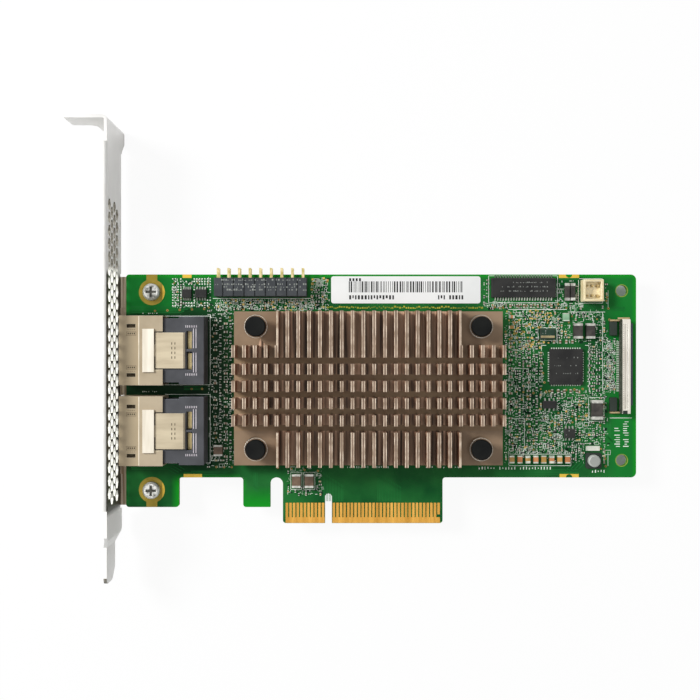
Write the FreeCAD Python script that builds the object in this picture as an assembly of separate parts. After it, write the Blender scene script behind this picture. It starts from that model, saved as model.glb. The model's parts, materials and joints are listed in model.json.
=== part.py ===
"""Storage controller card: a low-profile expansion board on a full-height vented bracket.

Millimetres. +X runs along the board from the bracket to the far end, +Y up the card from the gold
fingers to the top edge, +Z out of the component side. The origin is the card's datum: the middle of
the key notch, at the bottom of the fingers, on the component-side surface.
"""
import FreeCAD
import Part
import math
import os

# Board outline
board_thickness = 1.57
board_left = -56.0
far_zone_length = 37.65
top_strip_depth = 10.4
board_lower_edge = 12.7
hang_bottom = 4.5
lobe_right = -41.4
hang_tab_left = -23.6
relief_slot_width = 3.5
corner_radius = 0.8
far_corner_radius = 1.5
finger_corner_radius = 0.9

# Edge connector
contact_pitch = 1.0
contact_width = 0.7
contact_length = 5.2
contact_foot = 0.5
contact_thickness = 0.05
short_contact_length = 3.2
short_part_contacts = 11
long_part_contacts = 30
notch_width = 1.9
notch_depth = 8.25
notch_margin = 0.55
end_margin = 1.1
bevel_height = 0.45
bevel_depth = 0.3

# Holes for fixing the board
far_hole_radius = 1.55
far_hole_from_right = 4.0
far_hole_low_y = 17.45
far_hole_from_top = 4.5
bracket_screw_from_left = 7.1
upper_screw_from_top = 4.9
lower_screw_y = 9.25
screw_clearance = 0.2

# Bracket screws
screw_shank_radius = 1.25
screw_length = 3.4
screw_head_radius = 2.35
screw_head_height = 1.7
screw_dome = 0.5
screw_tip_chamfer = 0.3
cross_width = 0.7
cross_span = 2.9
cross_depth = 0.9

# Gold pads on the board
pad_thickness = 0.05
ring_pad_radius = 3.6
ring_pad_tab_width = 3.0
edge_pad_depth = 1.5
edge_pad_bite = 0.9
left_edge_pads = {"top": (15.6, 2.5), "low": (15.9, 5.1)}
far_edge_pads = {"top": (15.8, 5.6), "low": (15.9, 5.3)}

# Bracket
sheet = 0.86
bracket_gap = 1.95
bracket_low = -3.6
bracket_width = 18.42
bracket_length = 124.65
bracket_bottom = -14.65
ear_reach = 11.43
ear_width = 21.59
ear_fold_radius = 0.5
wide_part_height = 4.0
wide_part_taper = 2.5
ear_notch_radius = 2.21
ear_notch_from_web = 5.05
ear_outer_low = 5.1
lip_reach = 1.2
lip_from_top = 7.0
lip_over_tail = 7.0
lip_fold_radius = 0.35
lip_stock = 3.0
tail_width = 10.19
tail_length = 13.05
tail_taper = 3.2
tail_jog = 1.0
tail_jog_drop = 0.8
tail_tip_cut = 3.2
tail_tip_radius = 1.6
foot_length = 12.6
foot_width = 8.7
foot_relief = 0.9
foot_fold_radius = 0.5
foot_corner_radius = 1.2
thread_clearance = 0.02

# Honeycomb of vents
vent_pitch = 3.5
vent_wall = 0.6
vent_columns = 4
vents_over_tail = 9.6
vents_from_top = 21.4
vents_from_far_lip = 7.42

# Heat sink
fin_count = 26
fin_pitch = 2.89
fin_thickness = 0.9
fin_top = 11.5
sink_left = -25.6
sink_low = 16.6
sink_depth = 41.9
sink_base_bottom = 2.7
sink_base_thickness = 2.3
cross_cut_count = 5
cross_cut_width = 1.6
cross_cut_pitch = 4.58
first_cross_cut_y = 26.81
cleared_fins = 4
cleared_fin_shave = 0.4
upper_clearing = 9.2
spot_face_radius = 3.3
spot_face_depth = 0.3

# Push pins and their springs
pin_inset_x = 6.2
pin_upper_inset = 4.2
pin_lower_inset = 4.6
pin_head_radius = 2.75
pin_head_height = 1.2
pin_head_rise = 4.5
pin_head_chamfer = 0.3
pin_shank_radius = 1.4
pin_hole_clearance = 0.2
pin_barb_radius = 1.95
pin_barb_length = 2.3
pin_tip_radius = 0.9
pin_split = 0.7
spring_wire = 0.45
spring_turns = 2.5
spring_sides = 12
spring_radius = 2.15
spring_end_gap = 0.02

# Controller under the heat sink
controller_side = 27.0
controller_height = 2.4
thermal_pad_side = 24.0
controller_lid_side = 24.0
controller_substrate = 1.1

# Cable connectors
cable_connector_gap = 2.97
cable_pair_below_sink_middle = 0.515
cable_connector_overhang = 0.1
cable_cage_length = 11.95
cage_side_margin = 0.2
cable_cage_top = 9.5
cage_sheet = 0.35
cage_step_from_mouth = 5.4
cage_step_height = 0.35
latch_block_from_mouth = 6.5
latch_block_length = 3.1
latch_block_width = 11.6
latch_block_height = 0.55
latch_window_length = 1.0
latch_window_width = 2.4
latch_window_from_mouth = 2.1
latch_window_offset = 6.6
flap_length = 7.9
flap_width = 9.6
flap_thickness = 0.4
flap_fold = 0.9
flap_slit = 0.3
flap_slit_past_block = 0.02
flap_root = 0.4
flap_bridge = 3.2
cable_housing_length = 10.9
cable_housing_width = 18.3
cable_housing_top = 8.8
housing_shoulder_length = 4.2
housing_shoulder_cut = 0.55
nose_from_mouth = 4.6
nose_side_step = 1.35
nose_low = 1.9
nose_high = 7.5
card_slot_end_wall = 0.85
card_slot_height = 1.5
card_slot_depth = 6.5
contact_window_width = 1.5
contact_window_from_back = 3.2
contact_window_lengths = 4.9
contact_window_offset = 2.75
cable_contact_rows = 2
cable_contacts_per_row = 12
cable_contact_pitch = 0.8
cable_contact_width = 0.3
cable_contact_thickness = 0.25
cable_contact_inset = 2.0
contact_leg_from_back = 1.3
seat_clearance = 0.05
board_peg_radius = 0.8
board_peg_length = 1.2
board_peg_from_side = 2.55
board_peg_from_front = 3.8
peg_clearance = 0.1

# Pin header on the top edge
header_columns = 9
header_pitch = 2.9
header_left = -31.1
header_end_margin = 1.0
header_from_top = 1.2
header_body_depth = 5.0
header_body_height = 4.9
header_groove_width = 0.3
header_groove_depth = 0.35
header_pin_side = 0.64
header_pin_out = 2.7
header_leg_inset = 1.2
header_rows = 2
header_row_pitch = 2.54
header_first_row_z = 1.3
header_leg_below = 1.0
header_hole_radius = 0.55

# Label
label_from_header = 6.65
label_from_memory = 2.9
label_from_top = 0.5
label_width = 7.5
label_thickness = 0.1
label_corner = 0.7

# Memory chip
memory_over_sink = 2.55
memory_length = 17.8
memory_width = 5.4
memory_from_top = 1.0
memory_standoff = 0.1
memory_height = 1.1
memory_chamfer = 0.15
memory_lead_count = 22
memory_lead_pitch = 0.74
memory_lead_width = 0.32
memory_lead_reach = 0.85
memory_lead_thickness = 0.16

# Flat interface chip
interface_from_sink = 13.55
interface_size_x = 9.2
interface_size_y = 9.9
interface_over_middle = 5.8
interface_height = 0.95
interface_chamfer = 0.1
interface_pads_per_side = 13
interface_pad_pitch = 0.65
interface_pad_width = 0.3
interface_pad_reach = 0.35
interface_pad_thickness = 0.12
interface_pad_under = 0.5
pin_one_dimple = 0.45
pin_one_inset = 1.2
pin_one_depth = 0.08

# Small flat packages: body along x and y, and leads on a side. The gate chips lie right of the board's
# left edge and under its top edge, the others right of the heat sink and over its middle.
small_package_height = 1.25
small_package_standoff = 0.1
small_package_chamfer = 0.12
small_lead_reach = 0.75
small_lead_width = 0.4
small_lead_thickness = 0.16
small_package_sizes = {
    "gate_chip_a": (2.6, 2.3),
    "gate_chip_b": (3.2, 2.3),
    "regulator_chip": (3.8, 2.1),
    "flash_chip": (3.0, 2.5),
    "clock_chip": (4.1, 2.8),
}
small_lead_pitch = {
    "gate_chip_a": 0.6,
    "gate_chip_b": 0.75,
    "regulator_chip": 1.2,
    "flash_chip": 0.95,
}
gate_chip_places = {"gate_chip_a": (16.9, 5.3), "gate_chip_b": (20.8, 5.3)}
far_chip_places = {
    "regulator_chip": (13.55, -4.65),
    "flash_chip": (19.05, -12.6),
    "clock_chip": (12.95, 14.85),
}

# Board-to-board socket at the far end
mezzanine_from_sink = 32.85
mezzanine_width = 2.4
mezzanine_over_middle = 5.9
mezzanine_length = 25.9
mezzanine_height = 3.6
mezzanine_slot_width = 0.7
mezzanine_slot_depth = 2.4
mezzanine_end_wall = 1.4
mezzanine_bar_width = 0.8
mezzanine_bar_height = 2.6
mezzanine_bar_inset = 1.1
mezzanine_bar_low_inset = 2.3
mezzanine_contacts = 28
mezzanine_pitch = 0.5
mezzanine_tail_reach = 0.7
mezzanine_tail_width = 0.22
mezzanine_tail_thickness = 0.15
anchor_reach = 2.8
anchor_arm = 0.5
anchor_height = 1.6
anchor_block_length = 3.9
anchor_block_width = 2.0
anchor_block_height = 1.2
anchor_block_inset = 0.1

# Square auxiliary socket
aux_from_sink = 22.25
aux_side_x = 5.5
aux_from_top = 1.6
aux_side_y = 6.0
aux_height = 4.2
aux_wall = 0.65
aux_floor = 1.2
aux_pin_side = 0.5
aux_pin_pitch_x = 1.45
aux_pin_pitch_y = 2.7
aux_pin_rise = 1.6

# Metal can
can_from_sink = 25.75
can_over_edge = 4.7
can_radius = 1.65
can_edge_chamfer = 0.3
can_height = 2.2
can_base_side = 4.4
can_base_height = 0.5
can_base_corner = 0.4

# Chip passives: length, width, height
chip_0402 = (1.0, 0.55, 0.4)
chip_0603 = (1.6, 0.85, 0.6)
chip_0805 = (2.1, 1.3, 1.1)
chip_1210 = (3.0, 2.4, 1.9)
bulk_chip = (3.8, 2.4, 1.9)
slim_inductor = (4.8, 1.25, 1.2)
flat_inductor = (4.2, 2.4, 1.6)
large_inductor = (5.4, 3.1, 2.0)
crystal_size = (2.2, 1.8, 0.7)
array_size = (3.8, 1.3, 0.6)

# Columns of small chip parts along the heat sink's sides: distance from the side, and start over its
# lower edge. Each column fills the side at one pitch, up to a margin.
column_pitch = 2.3
left_column_margin = 2.0
right_column_margin = 5.0
left_capacitor_columns = ((5.7, 8.4), (2.8, 1.9))
left_resistor_columns = ((4.3, 7.6), (1.5, 1.4))
right_capacitor_columns = ((2.85, 7.9), (7.85, 6.3))
right_resistor_columns = ((5.35, 6.8), (10.05, 6.8))

# Short rows in the far zone: place right of the heat sink and over its middle, and the step
clock_row = (14.85, 12.75)
interface_row = (14.35, -0.95)
interface_row_step = 1.7
clock_row_count = 4
interface_row_count = 5
socket_columns = ((24.75, 0.45), (27.05, -0.75))
socket_column_step = 1.9
socket_column_count = 6
memory_row_from_sink = 2.75
memory_row_from_top = 8.7
memory_row_step = 1.9
memory_row_count = 7
trio_from_header = 2.9
trio_from_top = 4.3
trio_step = 1.6
trio_count = 3

# The larger chip parts
output_row = (3.15, 5.05)
output_row_step = 2.2
output_row_count = 8
output_pair = (3.15, 19.65)
output_pair_step = 2.9
bulk_pair_x = -8.85
bulk_pair_under_edge = 0.8
bulk_pair_step = 3.55
lone_bulk = (4.8, 3.7)
slim_pair = (18.4, 4.85)
slim_pair_step = 1.55
flat_pair = (21.35, 15.7)
flat_pair_step = 3.45
large_inductor_place = (26.5, -6.05)
crystal_place = (18.15, 11.8)
array_place = (25.55, 8.1)
underside_grid_count = 4
underside_grid_step = 3.2


def span_box(x, y, z):
    """A box between two values on each axis."""
    return Part.makeBox(x[1] - x[0], y[1] - y[0], z[1] - z[0], FreeCAD.Vector(x[0], y[0], z[0]))


def post(x, y, z, radius):
    """An upright cylinder."""
    return Part.makeCylinder(radius, z[1] - z[0], FreeCAD.Vector(x, y, z[0]))


def prism(points, along, low, high):
    """A flat outline, given in the two other axes in order, drawn out along one axis."""
    places = {
        "x": lambda a, b: FreeCAD.Vector(low, a, b),
        "y": lambda a, b: FreeCAD.Vector(a, low, b),
        "z": lambda a, b: FreeCAD.Vector(a, b, low),
    }
    directions = {"x": (1, 0, 0), "y": (0, 1, 0), "z": (0, 0, 1)}
    corners = [places[along](a, b) for a, b in points]
    face = Part.Face(Part.makePolygon(corners + corners[:1]))
    return face.extrude(FreeCAD.Vector(*directions[along]) * (high - low))


def rounded(shape, radius, along, places):
    """Rounds the edges that run along one axis and pass through the given places in the other two."""
    axis = "xyz".index(along)
    others = [i for i in range(3) if i != axis]
    chosen = []
    for edge in shape.Edges:
        ends = [vertex.Point for vertex in edge.Vertexes]
        if len(ends) != 2 or abs(abs(ends[1][axis] - ends[0][axis]) - edge.Length) > 1e-6:
            continue
        for a, b in places:
            if abs(ends[0][others[0]] - a) < 1e-3 and abs(ends[0][others[1]] - b) < 1e-3:
                chosen.append(edge)
    return shape.makeFillet(radius, chosen)


def joined(shapes):
    """One solid from pieces that meet or overlap."""
    whole = shapes[0].multiFuse(shapes[1:]) if len(shapes) > 1 else shapes[0]
    return whole.removeSplitter()


def turned(profile, x, y):
    """A solid of revolution about an upright axis, from (radius, height) points."""
    corners = [FreeCAD.Vector(x + r, y, z) for r, z in profile]
    face = Part.Face(Part.makePolygon(corners + corners[:1]))
    return face.revolve(FreeCAD.Vector(x, y, 0), FreeCAD.Vector(0, 0, 1), 360)


def hexagon(radius, turn):
    """Corners of a regular hexagon round the origin, the first one turned from the first axis."""
    angles = [math.radians(60 * k + turn) for k in range(6)]
    return [(radius * math.cos(angle), radius * math.sin(angle)) for angle in angles]


def save(name, shape):
    """Writes one node, as one solid or as a group of separate ones."""
    if isinstance(shape, list):
        shape = Part.makeCompound(shape)
    if not shape.isValid():
        raise ValueError(name + " is not a valid solid")
    shape.exportStep("parts/" + name + ".step")


# Values that follow from the ones above
board_under = -board_thickness
first_contact = notch_width / 2 + notch_margin
connector_left = -first_contact - (short_part_contacts - 1) * contact_pitch - end_margin
connector_right = first_contact + (long_part_contacts - 1) * contact_pitch + end_margin
relief_slot_left = connector_left - relief_slot_width
sink_length = (fin_count - 1) * fin_pitch + fin_thickness
sink_right = sink_left + sink_length
sink_high = sink_low + sink_depth
sink_middle = (sink_left + sink_right) / 2
sink_middle_y = (sink_low + sink_high) / 2
sink_base_top = sink_base_bottom + sink_base_thickness
board_right = sink_right + far_zone_length
board_top = sink_high + top_strip_depth
far_hole_x = board_right - far_hole_from_right
far_hole_ys = (far_hole_low_y, board_top - far_hole_from_top)
bracket_screw_x = board_left + bracket_screw_from_left
bracket_screw_ys = {"upper": board_top - upper_screw_from_top, "lower": lower_screw_y}
web_inner = board_left - bracket_gap
web_outer = web_inner - sheet
bracket_high = bracket_low + bracket_width
bracket_top = bracket_bottom + bracket_length
tail_start = bracket_bottom + tail_length
lip_top = bracket_top - lip_from_top
lip_bottom = tail_start + lip_over_tail
pin_places = {
    "upper_left": (sink_left + pin_inset_x, sink_high - pin_upper_inset),
    "upper_right": (sink_right - pin_inset_x, sink_high - pin_upper_inset),
    "lower_left": (sink_left + pin_inset_x, sink_low + pin_lower_inset),
    "lower_right": (sink_right - pin_inset_x, sink_low + pin_lower_inset),
}
spring_seat = sink_base_top - spot_face_depth
pin_head_low = sink_base_top + pin_head_rise - pin_head_height
cable_cage_width = cable_housing_width + 2 * cage_side_margin
cable_pair_middle = sink_middle_y - cable_pair_below_sink_middle
cable_connector_middles = {
    "upper": cable_pair_middle + (cable_cage_width + cable_connector_gap) / 2,
    "lower": cable_pair_middle - (cable_cage_width + cable_connector_gap) / 2,
}
cable_connector_left = board_left - cable_connector_overhang
cable_housing_left = cable_connector_left + cable_cage_length - seat_clearance
cable_housing_right = cable_housing_left + cable_housing_length
cable_leg_x = cable_housing_right - contact_leg_from_back
header_right = header_left + (header_columns - 1) * header_pitch + 2 * header_end_margin
header_body_high = board_top - header_from_top
header_body_low = header_body_high - header_body_depth
header_pin_xs = [header_left + header_end_margin + i * header_pitch for i in range(header_columns)]
header_leg_ys = [
    header_body_low + header_leg_inset + (header_rows - 1 - row) * header_row_pitch
    for row in range(header_rows)
]
memory_left = sink_right - memory_over_sink
memory_high = board_top - memory_from_top
memory_low = memory_high - memory_width
aux_left = sink_right + aux_from_sink
aux_low = board_top - aux_from_top - aux_side_y
can_x = sink_right + can_from_sink
can_y = board_lower_edge + can_over_edge
interface_left = sink_right + interface_from_sink
interface_right = interface_left + interface_size_x
interface_low = sink_middle_y + interface_over_middle - interface_size_y / 2
interface_high = interface_low + interface_size_y


def circuit_board():
    """The bare board: outline with lobe, hanging tab, relief slot, key notch and bevelled finger edge."""
    outline = [
        (board_left, hang_bottom),
        (lobe_right, hang_bottom),
        (lobe_right, board_lower_edge),
        (hang_tab_left, board_lower_edge),
        (hang_tab_left, hang_bottom),
        (connector_left, hang_bottom),
        (connector_left, 0),
        (connector_right, 0),
        (connector_right, board_lower_edge),
        (board_right, board_lower_edge),
        (board_right, board_top),
        (board_left, board_top),
    ]
    board = prism(outline, "z", board_under, 0)
    board = rounded(board, far_corner_radius, "z", outline[9:11])
    board = rounded(board, finger_corner_radius, "z", outline[6:8])
    board = rounded(board, corner_radius, "z", outline[:5] + outline[8:9] + outline[11:])
    slot_radius = relief_slot_width / 2
    slot_middle = connector_left - slot_radius
    slot_crown = board_lower_edge - slot_radius
    through = (board_under - 1, 1)
    notch_crown = notch_depth - notch_width / 2
    tools = [
        span_box((relief_slot_left, connector_left), (0, slot_crown), through),
        post(slot_middle, slot_crown, through, slot_radius),
        span_box((-notch_width / 2, notch_width / 2), (-1, notch_crown), through),
        post(0, notch_crown, through, notch_width / 2),
    ]
    for face, side in ((0, 1), (board_under, -1)):
        slope = bevel_depth / bevel_height
        bevel = [
            (bevel_height, face),
            (bevel_height, face + side),
            (-1, face + side),
            (-1, face - side * (bevel_depth + slope)),
        ]
        tools.append(prism(bevel, "x", connector_left - 1, connector_right + 1))
    for y in far_hole_ys:
        tools.append(post(far_hole_x, y, through, far_hole_radius))
    for y in bracket_screw_ys.values():
        tools.append(post(bracket_screw_x, y, through, screw_shank_radius + screw_clearance))
    for x, y in pin_places.values():
        tools.append(post(x, y, through, pin_shank_radius + pin_hole_clearance))
    for x in header_pin_xs:
        for y in header_leg_ys:
            corners = [(x + a, y + b) for a, b in hexagon(header_hole_radius, 0)]
            tools.append(prism(corners, "z", *through))
    for middle in cable_connector_middles.values():
        for x, y in peg_places(middle):
            tools.append(post(x, y, through, board_peg_radius + peg_clearance))
    return board.cut(tools)


def edge_contacts(face, outward, short_place):
    """One face's row of gold fingers, with the one short finger that detects the card."""
    xs = [-first_contact - i * contact_pitch for i in range(short_part_contacts)]
    xs.reverse()
    xs += [first_contact + i * contact_pitch for i in range(long_part_contacts)]
    z = sorted((face, face + outward * contact_thickness))
    fingers = []
    for place, x in enumerate(xs):
        top = contact_foot + contact_length
        length = short_contact_length if place == short_place % len(xs) else contact_length
        span = (x - contact_width / 2, x + contact_width / 2)
        fingers.append(span_box(span, (top - length, top), z))
    return fingers


def ground_pads():
    """Bare gold on the component side: a ring round each bracket screw and pads along the edges, of
    which the far ones are bitten by a half-round."""
    z = (0, pad_thickness)
    pads = []
    edges = {"upper": board_top, "lower": hang_bottom}
    for name, y in bracket_screw_ys.items():
        ring = post(bracket_screw_x, y, z, ring_pad_radius)
        half = ring_pad_tab_width / 2
        tab = span_box((bracket_screw_x - half, bracket_screw_x + half), sorted((y, edges[name])), z)
        hole = post(bracket_screw_x, y, z, screw_shank_radius + screw_clearance)
        pads.append(joined([ring, tab]).cut(hole))
    rows = {"top": (board_top - edge_pad_depth, board_top),
            "low": (board_lower_edge, board_lower_edge + edge_pad_depth)}
    for name, y in rows.items():
        start, length = left_edge_pads[name]
        x = board_left + start
        pads.append(span_box((x, x + length), y, z))
        start, length = far_edge_pads[name]
        x = board_right - start - length
        bite = post(x + length / 2, board_top if name == "top" else board_lower_edge, z, edge_pad_bite)
        pads.append(span_box((x, x + length), y, z).cut(bite))
    return pads


def vents():
    """Staggered columns of hexagons, pointing across the strip, as cutting tools."""
    flat = vent_pitch - vent_wall
    corners = hexagon(flat / math.sqrt(3), 30)
    step = vent_pitch * math.sqrt(3) / 2
    middle = bracket_high - vents_from_far_lip
    low = tail_start + vents_over_tail
    rows = int((bracket_top - vents_from_top - low) / vent_pitch)
    tools = []
    for column in range(vent_columns):
        z = middle + (column - (vent_columns - 1) / 2) * step
        stagger = vent_pitch / 2 * (column % 2)
        for row in range(rows):
            y = low + stagger + row * vent_pitch
            points = [(y + a, z + b) for a, b in corners]
            tools.append(prism(points, "x", web_outer - 1, web_inner + 1))
    return tools


def bracket():
    """One folded sheet: ear, wide head, lipped and vented web, two feet and the jogged tail."""
    ear_tip = web_inner - ear_reach
    wide_low = bracket_high - ear_width
    tongue_top = tail_start - tail_taper
    side = [
        (web_inner, bracket_top),
        (web_inner, tail_start - tail_jog_drop),
        (web_inner - tail_jog, tongue_top),
        (web_inner - tail_jog, bracket_bottom),
        (web_outer - tail_jog, bracket_bottom),
        (web_outer - tail_jog, tongue_top),
        (web_outer, tail_start - tail_jog_drop),
        (web_outer, bracket_top - sheet),
        (ear_tip, bracket_top - sheet),
        (ear_tip, bracket_top),
    ]
    strip = prism(side, "z", wide_low, bracket_high)
    strip = rounded(strip, ear_fold_radius, "z", [(web_outer, bracket_top - sheet)])
    strip = rounded(strip, ear_fold_radius + sheet, "z", [(web_inner, bracket_top)])
    wide_bottom = bracket_top - wide_part_height
    tongue_low = (bracket_low + bracket_high - tail_width) / 2
    tongue_high = tongue_low + tail_width
    front = [
        (bracket_top + 1, wide_low),
        (wide_bottom, wide_low),
        (wide_bottom - wide_part_taper, bracket_low),
        (tail_start, bracket_low),
        (tongue_top, tongue_low),
        (bracket_bottom + tail_tip_cut, tongue_low),
        (bracket_bottom, tongue_low + tail_tip_cut),
        (bracket_bottom, tongue_high),
        (tongue_top, tongue_high),
        (tail_start, bracket_high),
        (bracket_top + 1, bracket_high),
    ]
    blank = prism(front, "x", ear_tip - 1, web_inner + 1)
    blank = rounded(blank, tail_tip_radius, "x", front[6:8])
    notch_x = web_inner - ear_notch_from_web
    notch_z = ear_outer_low - ear_notch_radius
    head = (bracket_top - sheet - 1, bracket_top + 1)
    notch = [
        span_box((ear_tip - 1, notch_x - ear_notch_radius), head, (wide_low - 1, ear_outer_low)),
        span_box((notch_x - ear_notch_radius, notch_x), head, (wide_low - 1, notch_z)),
        span_box((notch_x - ear_notch_radius, notch_x), head, (notch_z, ear_outer_low)),
    ]
    rim = Part.makeCylinder(
        ear_notch_radius,
        head[1] - head[0],
        FreeCAD.Vector(notch_x - ear_notch_radius, head[0], notch_z),
        FreeCAD.Vector(0, 1, 0),
    )
    corner = notch[2].common(rim)
    folded = strip.common(blank).cut([notch[0], notch[1], corner])
    pieces = [folded]
    for edge, inward in ((bracket_high, -1), (bracket_low, 1)):
        lip = [
            (web_inner, edge + inward * lip_stock),
            (web_inner, edge),
            (web_outer - lip_reach, edge),
            (web_outer - lip_reach, edge + inward * sheet),
            (web_outer, edge + inward * sheet),
            (web_outer, edge + inward * lip_stock),
        ]
        flange = prism(lip, "y", lip_bottom, lip_top)
        flange = rounded(flange, lip_fold_radius, "y", [lip[4]])
        flange = rounded(flange, lip_fold_radius + sheet, "y", [lip[1]])
        corner_edge = [
            (web_outer - 1, web_inner + 1),
            (lip_bottom, lip_top),
            tuple(sorted((edge, edge + inward * lip_stock / 2))),
        ]
        pieces[0] = pieces[0].cut(span_box(*corner_edge))
        pieces.append(flange)
    foot_top = board_under
    foot_low = board_under - sheet
    reliefs = []
    feet = []
    for y in bracket_screw_ys.values():
        span = (y - foot_width / 2, y + foot_width / 2)
        open_span = (span[0] - foot_relief, span[1] + foot_relief)
        reliefs.append(span_box((web_outer - lip_reach - 1, web_inner + 1), open_span,
                                (bracket_low - 1, foot_top)))
        section = [
            (web_outer, foot_top + 2),
            (web_outer, foot_low),
            (web_inner + foot_length, foot_low),
            (web_inner + foot_length, foot_top),
            (web_inner, foot_top),
            (web_inner, foot_top + 2),
        ]
        foot = prism(section, "y", span[0], span[1])
        foot = rounded(foot, foot_fold_radius, "y", [section[4]])
        foot = rounded(foot, foot_fold_radius + sheet, "y", [section[1]])
        tip = web_inner + foot_length
        foot = rounded(foot, foot_corner_radius, "z", [(tip, span[0]), (tip, span[1])])
        thread = post(bracket_screw_x, y, (foot_low - 1, foot_top + 1), screw_shank_radius + thread_clearance)
        feet.append(foot.cut(thread))
    body = joined(pieces).cut(reliefs)
    body = joined([body] + feet)
    return body.cut(vents())


def bracket_screw(y):
    """Pan-head screw with a cross recess, down through the board into the foot."""
    seat = pad_thickness
    rim = screw_head_radius
    top = seat + screw_head_height
    profile = [
        (0, seat - screw_length),
        (screw_shank_radius - screw_tip_chamfer, seat - screw_length),
        (screw_shank_radius, seat - screw_length + screw_tip_chamfer),
        (screw_shank_radius, seat),
        (rim, seat),
        (rim, top - screw_dome),
        (rim - screw_dome, top),
        (0, top),
    ]
    screw = turned(profile, bracket_screw_x, y)
    arm = cross_width / 2
    reach = cross_span / 2
    depth = (top - cross_depth, top + 1)
    bars = [
        span_box((bracket_screw_x - arm, bracket_screw_x + arm), (y - reach, y + reach), depth),
        span_box((bracket_screw_x - reach, bracket_screw_x + reach), (y - arm, y + arm), depth),
    ]
    return screw.cut(bars)


def heat_sink():
    """One block: a profile of fins drawn along Y, then cross-cut, with its four corners cleared."""
    section = [(sink_left, sink_base_bottom), (sink_right, sink_base_bottom)]
    for place in reversed(range(fin_count)):
        left = sink_left + place * fin_pitch
        right = left + fin_thickness
        section += [(right, fin_top), (left, fin_top)]
        if place:
            section += [(left, sink_base_top), (left - fin_pitch + fin_thickness, sink_base_top)]
    sink = prism(section, "y", sink_low, sink_high)
    level = (sink_base_top, fin_top + 1)
    across = (sink_left - 1, sink_right + 1)
    tools = []
    for step in range(cross_cut_count):
        middle = first_cross_cut_y + step * cross_cut_pitch
        tools.append(span_box(across, (middle - cross_cut_width / 2, middle + cross_cut_width / 2), level))
    clear_reach = cleared_fins * fin_pitch + cleared_fin_shave
    lower_clearing = first_cross_cut_y - sink_low
    for x in ((sink_left - 1, sink_left + clear_reach), (sink_right - clear_reach, sink_right + 1)):
        tools.append(span_box(x, (sink_high - upper_clearing, sink_high + 1), level))
        tools.append(span_box(x, (sink_low - 1, sink_low + lower_clearing), level))
    for x, y in pin_places.values():
        tools.append(post(x, y, (0, fin_top), pin_shank_radius + pin_hole_clearance))
        tools.append(post(x, y, (spring_seat, fin_top), spot_face_radius))
    return sink.cut(tools)


def push_pin(x, y):
    """Moulded fixing pin: flat head, shank, and a split barbed tip that snaps under the board."""
    under = board_under
    tip = under - pin_barb_length
    head_top = pin_head_low + pin_head_height
    profile = [
        (0, tip),
        (pin_tip_radius, tip),
        (pin_barb_radius, under - spring_end_gap),
        (pin_shank_radius, under - spring_end_gap),
        (pin_shank_radius, pin_head_low),
        (pin_head_radius, pin_head_low),
        (pin_head_radius, head_top - pin_head_chamfer),
        (pin_head_radius - pin_head_chamfer, head_top),
        (0, head_top),
    ]
    pin = turned(profile, x, y)
    split = span_box((x - pin_barb_radius, x + pin_barb_radius), (y - pin_split / 2, y + pin_split / 2),
                     (tip - 1, 0))
    return pin.cut(split)


def push_pin_spring(x, y):
    """Coil spring round the pin, between the spot face and the head, in short straight lengths."""
    low = spring_seat + spring_wire / 2 + spring_end_gap
    high = pin_head_low - spring_wire / 2 - spring_end_gap
    steps = int(spring_turns * spring_sides)
    coil = []
    for step in range(steps + 1):
        angle = 2 * math.pi * step / spring_sides
        rise = (high - low) * step / steps
        coil.append(FreeCAD.Vector(spring_radius * math.cos(angle), spring_radius * math.sin(angle), rise))
    half = spring_wire / 2
    corners = [
        FreeCAD.Vector(spring_radius + half * a, 0, half * b) for a, b in ((1, 0), (0, 1), (-1, 0), (0, -1))
    ]
    section = Part.makePolygon(corners + corners[:1])
    spring = Part.makePolygon(coil).makePipeShell([section], True, False, 1)
    spring.translate(FreeCAD.Vector(x, y, low))
    return spring


def controller_chip():
    """Ball-grid package: square substrate with a smaller moulded lid."""
    x = sink_middle
    y = sink_middle_y
    half = controller_side / 2
    lid = controller_lid_side / 2
    substrate = span_box((x - half, x + half), (y - half, y + half), (0, controller_substrate))
    mould = span_box((x - lid, x + lid), (y - lid, y + lid), (controller_substrate, controller_height))
    return joined([substrate, mould])


def thermal_pad():
    """Soft pad that fills the gap between the controller and the heat sink."""
    half = thermal_pad_side / 2
    return span_box((sink_middle - half, sink_middle + half), (sink_middle_y - half, sink_middle_y + half),
                    (controller_height, sink_base_bottom))


def peg_places(middle):
    """The two board pegs under one cable connector."""
    x = cable_housing_left + board_peg_from_front
    reach = cable_housing_width / 2 - board_peg_from_side
    return [(x, middle - reach), (x, middle + reach)]


def cable_contact_path(row):
    """Side view of one contact: blade on the slot's roof or floor, back through the plastic, leg."""
    mouth = cable_connector_left
    start = mouth + nose_from_mouth + cable_contact_inset
    slot_middle = (nose_low + nose_high) / 2
    thick = cable_contact_thickness
    if row:
        high = slot_middle + card_slot_height / 2
    else:
        high = slot_middle - card_slot_height / 2 + thick
    return [
        (start, high),
        (cable_leg_x + thick, high),
        (cable_leg_x + thick, 0),
        (cable_leg_x, 0),
        (cable_leg_x, high - thick),
        (start, high - thick),
    ]


def cable_contacts(middle):
    """Both rows of one connector's contacts, the lower row half a pitch aside."""
    contacts = []
    half = cable_contact_width / 2
    for row in range(cable_contact_rows):
        path = cable_contact_path(row)
        for place in range(cable_contacts_per_row):
            y = middle + (place - (cable_contacts_per_row - 1) / 2) * cable_contact_pitch
            y += (row - 0.5) * cable_contact_pitch / 2
            contacts.append(prism(path, "y", y - half, y + half))
    return contacts


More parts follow.
